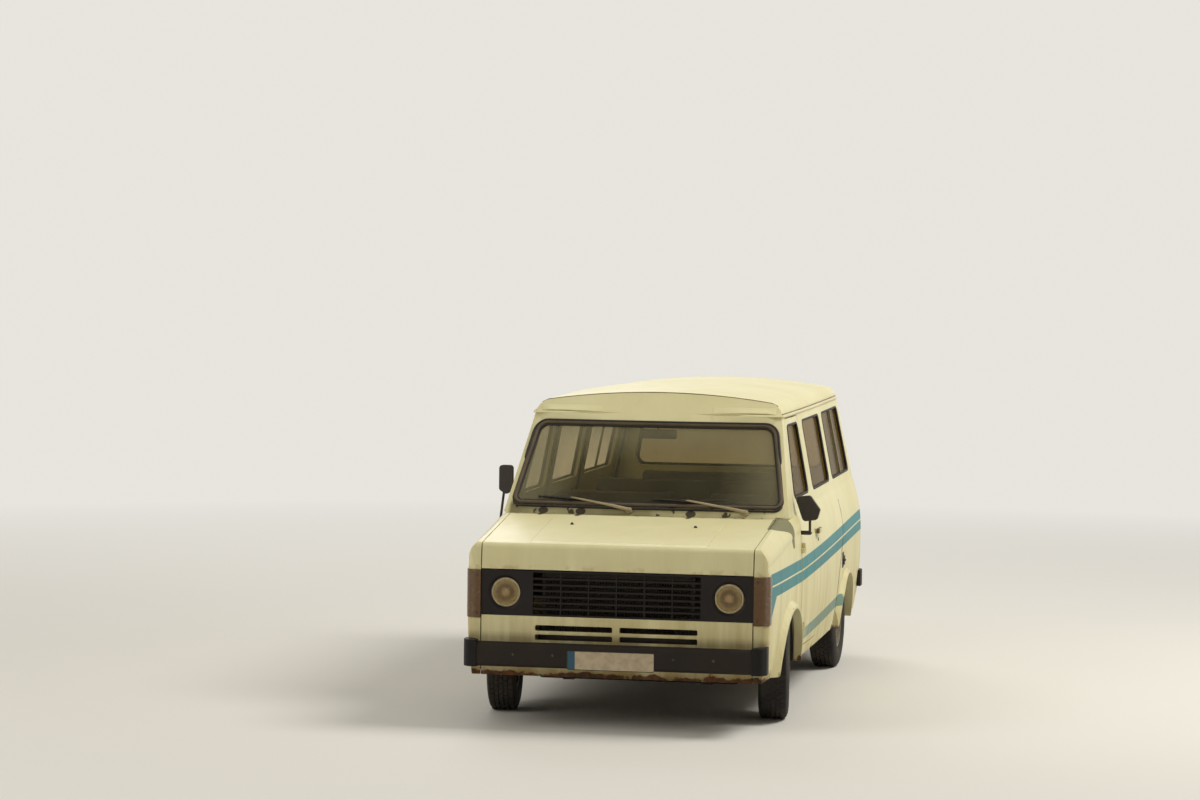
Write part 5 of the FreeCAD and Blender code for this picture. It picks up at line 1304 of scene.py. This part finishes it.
def cushion(name, low, high, lean, across):
    """One cushion in the space of its solid. lean shifts its top backwards, across is its soft axis."""
    inset = Vector((SEAT_INSET,) * 3)
    a, b = low + inset, high - inset
    block = Form()
    block.box(a, b, SEAT_EDGE, 3)
    seed = bpy.data.objects.new(name, block.mesh(name))
    scene.collection.objects.link(seed)
    remesh = seed.modifiers.new("even", "REMESH")
    remesh.mode = "VOXEL"
    remesh.voxel_size = SEAT_VOXEL
    even = baked(seed)
    seed.modifiers.clear()
    seed.data = even
    simulate(seed)
    # Sewn channels: shallow valleys that fade out towards the rim
    middle, reach = (a + b) / 2, (b - a) / 2
    count = max(3, round(reach.x * 2 / CHANNEL_WIDTH))
    inward, other = (-1, 1) if across == 2 else (1, 2)
    for vert in even.vertices:
        share = [(vert.co[i] - middle[i]) / reach[i] for i in range(3)]
        if share[across] > 0.3:
            wave = 0.5 + 0.5 * math.cos(math.pi * count * (share[0] + 1))
            fade = max(0.0, 1 - max(abs(share[0]), abs(share[other])) ** 6)
            vert.co[across] += inward * CHANNEL_DEPTH * wave ** CHANNEL_SHARP * fade
        vert.co.y += lean * (vert.co.z - low.z) / (high.z - low.z)
    even.materials.clear()
    bpy.data.objects.remove(seed)
    piece = place(name, even, seat_finish, "root", "seat_cloth", 60.0)
    smooth = piece.modifiers.new("smooth", "SUBSURF")
    smooth.levels = smooth.render_levels = 1
    return piece


# %% Every seat
BACK_HEIGHT, BACK_LEAN = 0.3, 0.080
for node in ("front_seats", "rear_seats"):
    made = []
    for number, (low, high) in enumerate(islands(node), 1):
        is_back = high.z - low.z > BACK_HEIGHT
        word, lean, across = ("_back_", BACK_LEAN, 1) if is_back else ("_cushion_", 0.0, 2)
        made.append(cushion(node[:-1] + word + str(number), low, high - Vector((0, lean, 0)), lean, across))
    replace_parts(made[0], node)
    print(node, "are", len(made), "cushions")

# %% [markdown]
# ## What shows through the glass
# The cabin needs no full fit-out, but the eye looks through the windscreen and, with a door open,
# at the door's inner side. So the dashboard gets its hood, dials and vents, the doors get trim
# panels with a rest and a winder, and a mirror and two visors hang from the header.

# %% Dashboard
dash_y, dash_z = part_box("dashboard")[1].yz
WHEEL_X, DIAL_APART = 0.430, 0.075
VENTS_X, VENT_ROWS, VENT_STEP = (-0.62, -0.30, 0.70), 4, 0.013
DIAL = ((0.0, 0.0), (0.0, 0.036), (0.006, 0.036), (0.006, 0.032), (0.002, 0.030), (0.002, 0.0))
hood, dials, vents, lid = Form(), Form(), Form(), Form()
hood_y = dash_y - 0.075
hood.box((WHEEL_X - 0.19, hood_y - 0.07, dash_z - 0.025),
         (WHEEL_X + 0.19, hood_y + 0.075, dash_z + 0.045), 0.018, 3)
for x in (WHEEL_X - DIAL_APART, WHEEL_X + DIAL_APART):
    dials.turned(DIAL, (x, hood_y + 0.074, dash_z - 0.002), AHEAD, 32)
hood.done("instrument_hood", vinyl)
dials.done("dials", bright_steel, "root", "cast_metal")
for x in VENTS_X:
    for row in range(VENT_ROWS):
        z = dash_z - 0.075 + row * VENT_STEP
        vents.box((x - 0.06, dash_y - 0.012, z), (x + 0.06, dash_y + 0.004, z + 0.005), 0.001, 1)
vents.done("dash_vents", plastic)
lid.box((-0.60, dash_y - 0.02, dash_z - 0.205), (-0.16, dash_y + 0.006, dash_z - 0.100), 0.006)
lid.done("glove_box_lid", vinyl)

# %% Mirror and visors
VISOR_X, VISOR_Y, VISOR_Z, VISOR_TILT = 0.40, -0.755, 1.765, math.radians(24.0)
inner, visors = Form(), Form()
inner.box((-0.115, -0.790, 1.655), (0.115, -0.772, 1.715), 0.008, 3)
inner.rod((0.0, -0.790, 1.690), (0.0, -0.835, 1.738), 0.006)
inner.done("cabin_mirror", plastic)
for x in (-VISOR_X, VISOR_X):
    tilt = Matrix.Translation((x, VISOR_Y, VISOR_Z)) @ Matrix.Rotation(VISOR_TILT, 4, "X")
    visors.box((-0.22, -0.075, -0.010), (0.22, 0.075, 0.010), 0.008, 3, tilt)
visors.done("sun_visors", vinyl)
print("dashboard and header are fitted")


# %% Door trim
TRIM_Z = (0.50, 1.215)
TRIM_FRONT, TRIM_REAR = 0.09, 0.13
DOORS = (("door_left", LEFT), ("door_right", RIGHT), ("side_door", RIGHT))
for name, sign in DOORS:
    tree = skin_tree(name)
    low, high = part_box(name)
    y0, y1, z0 = low.y + TRIM_FRONT, high.y - TRIM_REAR, TRIM_Z[0]
    mesh = slab(tree, 0, -sign, spread(y0, y1, 8), spread(*TRIM_Z, 14), 0.0005, 0.009)
    place("trim_" + name, mesh, vinyl, name)
    # An arm rest and a winder with its arm and knob
    fittings = Form()
    rest, pivot = cast(tree, [((y0 + y1) / 2, z0 + 0.40), (y0 + 0.22, z0 + 0.27)], 0, -sign, 0.008)
    fittings.box(rest - Vector((0, 0.15, 0.022)), rest + Vector((-0.050 * sign, 0.17, 0.022)), 0.012, 3)
    fittings.rod(pivot, pivot - Vector((0.022 * sign, 0, 0)), 0.018, 0.014)
    arm_at = pivot - Vector((0.018 * sign, 0, 0))
    knob = arm_at + Vector((-0.010 * sign, 0.085, -0.030))
    fittings.rod(arm_at, knob, 0.007, 0.006, 10)
    fittings.rod(knob, knob - Vector((0.026 * sign, 0, 0)), 0.010, 0.012, 14)
    fittings.done("fittings_" + name, plastic, name)
print("trimmed", len(DOORS), "doors")

# %% Rubber seals behind the shut lines
# A seal lies on the body's inner side and laps over the door's free edges, so no light comes in.
SEAL_REAR_Z, SEAL_TOP_Z, SEAL_LIFT = (0.42, 1.755), (1.766, 1.780, 1.803, 1.815), (0.0004, 0.007)
# Columns: name, CAD nodes, side, the inner shut line's place along the body, front end of the top seal
for name, names, sign, rear_y, front_y in (
        ("left", ("side_left", "door_left"), LEFT, -0.172, -0.66),
        ("right", ("side_right", "door_right"), RIGHT, -0.172, -0.66),
        ("side", ("side_right", "side_door"), RIGHT, 0.892, -0.04)):
    tree = skin_tree(*names)
    across = [rear_y + step for step in (-0.024, -0.012, 0.012, 0.024)]
    place("rear_seal_" + name, slab(tree, 0, -sign, across, spread(*SEAL_REAR_Z, 24), *SEAL_LIFT), rubber)
    mesh = slab(tree, 0, -sign, spread(front_y, rear_y - 0.05, 16), SEAL_TOP_Z, *SEAL_LIFT)
    place("top_seal_" + name, mesh, rubber)
# The tailgate's seals are tubes that follow its two edges. Each edge is felt for from outside.
SEAL_R, HALF_GAP, FEEL = 0.008, 0.004, 0.001
tree = skin_tree("tailgate")
low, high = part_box("tailgate")
for word, sign in SIDES:
    path = []
    for z in spread(low.z + 0.08, high.z - 0.08, 24):
        x, edge = high.x + 0.01, None
        while edge is None:
            x -= FEEL
            edge = tree.ray_cast(Vector((sign * x, 0, z)), Vector(AHEAD))[0]
        path.append(Vector((sign * (x + HALF_GAP), edge.y - SEAL_R, z)))
    sweep("tailgate_seal_" + word, path, rubber, closed=False, Radius=SEAL_R, Sides=8)
print("doors close on their seals")

# %% The left side's joint and its fuel filler
# The rear quarter joins the side behind the second pane. Its joint bends forward to clear the wheel arch.
LEFT_TREE, FILLER = skin_tree("side_left"), (1.08, 0.752)
JOINT = ((1.07, 1.165), (1.075, 1.08), (1.075, 0.98), (1.05, 0.89), (0.985, 0.80), (0.905, 0.71),
         (0.86, 0.62), (0.845, 0.52), (0.845, 0.42), (0.845, 0.345))
path = cast(LEFT_TREE, JOINT, 0, LEFT, 0.0)
sweep("side_joint", path, rubber, closed=False, Radius=0.0022, Sides=8)
RECESS_Y, RECESS_Z = (1.035, 1.125), (0.700, 0.805)
mesh = slab(LEFT_TREE, 0, LEFT, spread(*RECESS_Y, 4), spread(*RECESS_Z, 5), -0.0005, 0.002)
place("filler_recess", mesh, rubber)
filler = Form()
filler_at = cast(LEFT_TREE, [FILLER], 0, LEFT, 0.001)[0]
filler.rod(filler_at, filler_at + Vector((0.012 * LEFT, 0, 0)), 0.036, 0.032, 28)
filler.box(filler_at + Vector((0.011, -0.026, -0.005)), filler_at + Vector((0.019, 0.026, 0.005)), 0.002)
filler.done("filler_cap", plastic)
print("filler cap at", tuple(round(v, 3) for v in filler_at))

# %% Handles and locks outside
HANDLE_Z = 1.065
handle_metal = worn("dull handle metal", (58, 52, 44), (120, 110, 92), 0.4, 220.0, 0.0003, Metallic=0.5)
# Columns: name, node, side, where the grip's middle is, and a place near it that gives the skin's height
for name, node, sign, middle, skin_y in (
        ("left", "door_left", LEFT, -0.290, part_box("door_left")[1].y - 0.015),
        ("right", "door_right", RIGHT, -0.290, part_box("door_right")[1].y - 0.015),
        ("side", "side_door", RIGHT, 0.780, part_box("side_door")[1].y - 0.010)):
    skin, lock = cast(skin_tree(node), [(skin_y, HANDLE_Z), (middle + 0.02, HANDLE_Z - 0.060)], 0, sign, 0.0)
    grip = Form()
    grip.box((skin.x + 0.008 * sign, middle - 0.076, HANDLE_Z - 0.0165),
             (skin.x + 0.0285 * sign, middle + 0.068, HANDLE_Z + 0.0165), 0.006, 3)
    grip.rod(lock, lock + Vector((0.004 * sign, 0, 0)), 0.011, 0.010, 20)
    grip.done("handle_" + name, handle_metal, node, "cast_metal")
print("handles are at height", HANDLE_Z)

# %% Mirror glass
# The heads' outlines as (x, z), the left one first
MIRROR_HEADS = (((0.893, 1.322), (0.986, 1.334), (1.050, 1.246), (1.032, 1.184), (0.945, 1.171)),
                ((-0.902, 1.478), (-0.988, 1.478), (-0.988, 1.322), (-0.936, 1.290), (-0.902, 1.330)))
MIRROR_MARGIN = 0.86
mirror_glass = worn("mirror glass", (168, 172, 172), (190, 194, 192), 0.10, 60.0, 0.0, Metallic=1.0)
for word, corners in zip(("left", "right"), MIRROR_HEADS):
    face_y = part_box("mirror_" + word)[1].y
    centre = sum((Vector(c) for c in corners), Vector((0, 0))) / len(corners)
    shrunk = [centre + (Vector(c) - centre) * MIRROR_MARGIN for c in corners]
    outline = [(p.x, face_y - 0.001, p.y) for p in rounded(shrunk, 0.012, 4, 1.0)]
    face = Form().prism(outline, (0, 0.0025, 0))
    face.done("mirror_glass_" + word, mirror_glass, "door_" + word, "lamp_glass")
print("mirrors face the rear")

# %% [markdown]
# ## Floor, light and camera
# The scene is a plain pale studio. The floor curves up into a wall all round, so there is no
# horizon. More light would turn the far wall white, but the paint with it. So the floor's material
# keeps its shadow near the object, and farther out it shows camera and mirror rays one even tone.
# Broad, soft lamps stand high on the vehicle's left, as the sun did, and the nose is in open shade.

# %% The studio
FLOOR_R, WALL_R, WALL_H = 30.0, 40.0, 26.0
FADE_MIDDLE, FADE_WIDTH = 10.0, 12.0
NEAR_TONE, FAR_TONE = (0.76, 0.74, 0.69, 1.0), (0.80, 0.78, 0.73, 1.0)
BEND_R, BEND_STEPS = 10.0, 8


def stage_finish(name, colour, far_tone):
    """A floor that takes shadows, and fades to one even tone away from the object."""
    stage = Finish(name, colour, 0.9)
    cloud = stage.noise(0.4, 2.0)
    stage.feed(Base_Color=stage.mix(cloud, colour, tuple(0.97 * c for c in colour[:3]) + (1.0,)))
    even = stage.add("ShaderNodeEmission", {"Color": far_tone, "Strength": 1.0}, "Emission")
    path = stage.add("ShaderNodeLightPath", {}, "Is Camera Ray")
    seen = path.at_least(path.part("Is Glossy Ray")).at_least(path.part("Is Transmission Ray"))
    stage.blend(seen * stage.x.reach(stage.y).over(FADE_MIDDLE, FADE_WIDTH), stage.skin, even)
    return stage


profile = [(0.0, 0.0), (0.0, 12.0), (0.0, FLOOR_R)]
for step in range(1, BEND_STEPS + 1):
    angle = step / BEND_STEPS * math.pi / 2
    profile.append((BEND_R * (1 - math.cos(angle)), FLOOR_R + BEND_R * math.sin(angle)))
profile.append((WALL_H, WALL_R))
form = Form()
form.turned(profile, (0, 0, 0), (0, 0, 1), 96)
bmesh.ops.reverse_faces(form.bm, faces=form.bm.faces)
mesh = form.mesh("studio_floor")
mesh.materials.append(stage_finish("pale studio", NEAR_TONE, FAR_TONE).material)
mesh.shade_smooth()
floor = bpy.data.objects.new("studio_floor", mesh)
scene.collection.objects.link(floor)

# %% Lamps
LAMPS_AIM = Vector((0, 0, 0.8))
# Columns: name, place, size, power, colour
for name, place_at, size, power, colour in (
        ("key", (8.0, 1.0, 11.0), 6.0, 1180.0, (1.0, 0.98, 0.93)),
        ("fill", (-9.0, -9.0, 7.0), 8.0, 420.0, (1.0, 0.98, 0.94)),
        ("rear", (-5.0, 12.0, 10.0), 8.0, 500.0, (1.0, 1.0, 1.0))):
    light = bpy.data.lights.new(name, "AREA")
    light.shape, light.size, light.energy, light.color = "DISK", size, power, colour
    obj = bpy.data.objects.new(name, light)
    obj.location = place_at
    obj.rotation_euler = (LAMPS_AIM - Vector(place_at)).to_track_quat("-Z", "Y").to_euler()
    scene.collection.objects.link(obj)
world = bpy.data.worlds.new("studio air")
world.use_nodes = True
sky = world.node_tree.nodes["Background"]
sky.inputs["Color"].default_value = (1.0, 0.95, 0.85, 1.0)
sky.inputs["Strength"].default_value = 0.38
scene.world = world
print("three lamps and a pale sky")

# %% The camera
CAMERA_AT = Vector((3.632, -21.758, 2.858))
YAW, PITCH, ROLL = 0.189, 0.0452, 0.0116
FOCAL_PIXELS, IMAGE_WIDTH = 3383.72, 1200
ahead = Vector((-math.sin(YAW) * math.cos(PITCH), math.cos(YAW) * math.cos(PITCH), -math.sin(PITCH)))
right = Vector((math.cos(YAW), math.sin(YAW), 0.0))
up = right.cross(ahead)
turned_right = right * math.cos(ROLL) + up * math.sin(ROLL)
turned_up = up * math.cos(ROLL) - right * math.sin(ROLL)
camera_data = bpy.data.cameras.new("camera")
camera_data.sensor_width = 36.0
camera_data.lens = FOCAL_PIXELS / IMAGE_WIDTH * camera_data.sensor_width
camera_data.clip_end = 200.0
camera = bpy.data.objects.new("camera", camera_data)
turn = Matrix((turned_right, turned_up, -ahead)).transposed().to_4x4()
camera.matrix_world = Matrix.Translation(CAMERA_AT) @ turn
scene.collection.objects.link(camera)
scene.camera = camera
scene.view_settings.view_transform = "Standard"
print("lens", round(camera_data.lens, 1), "mm")
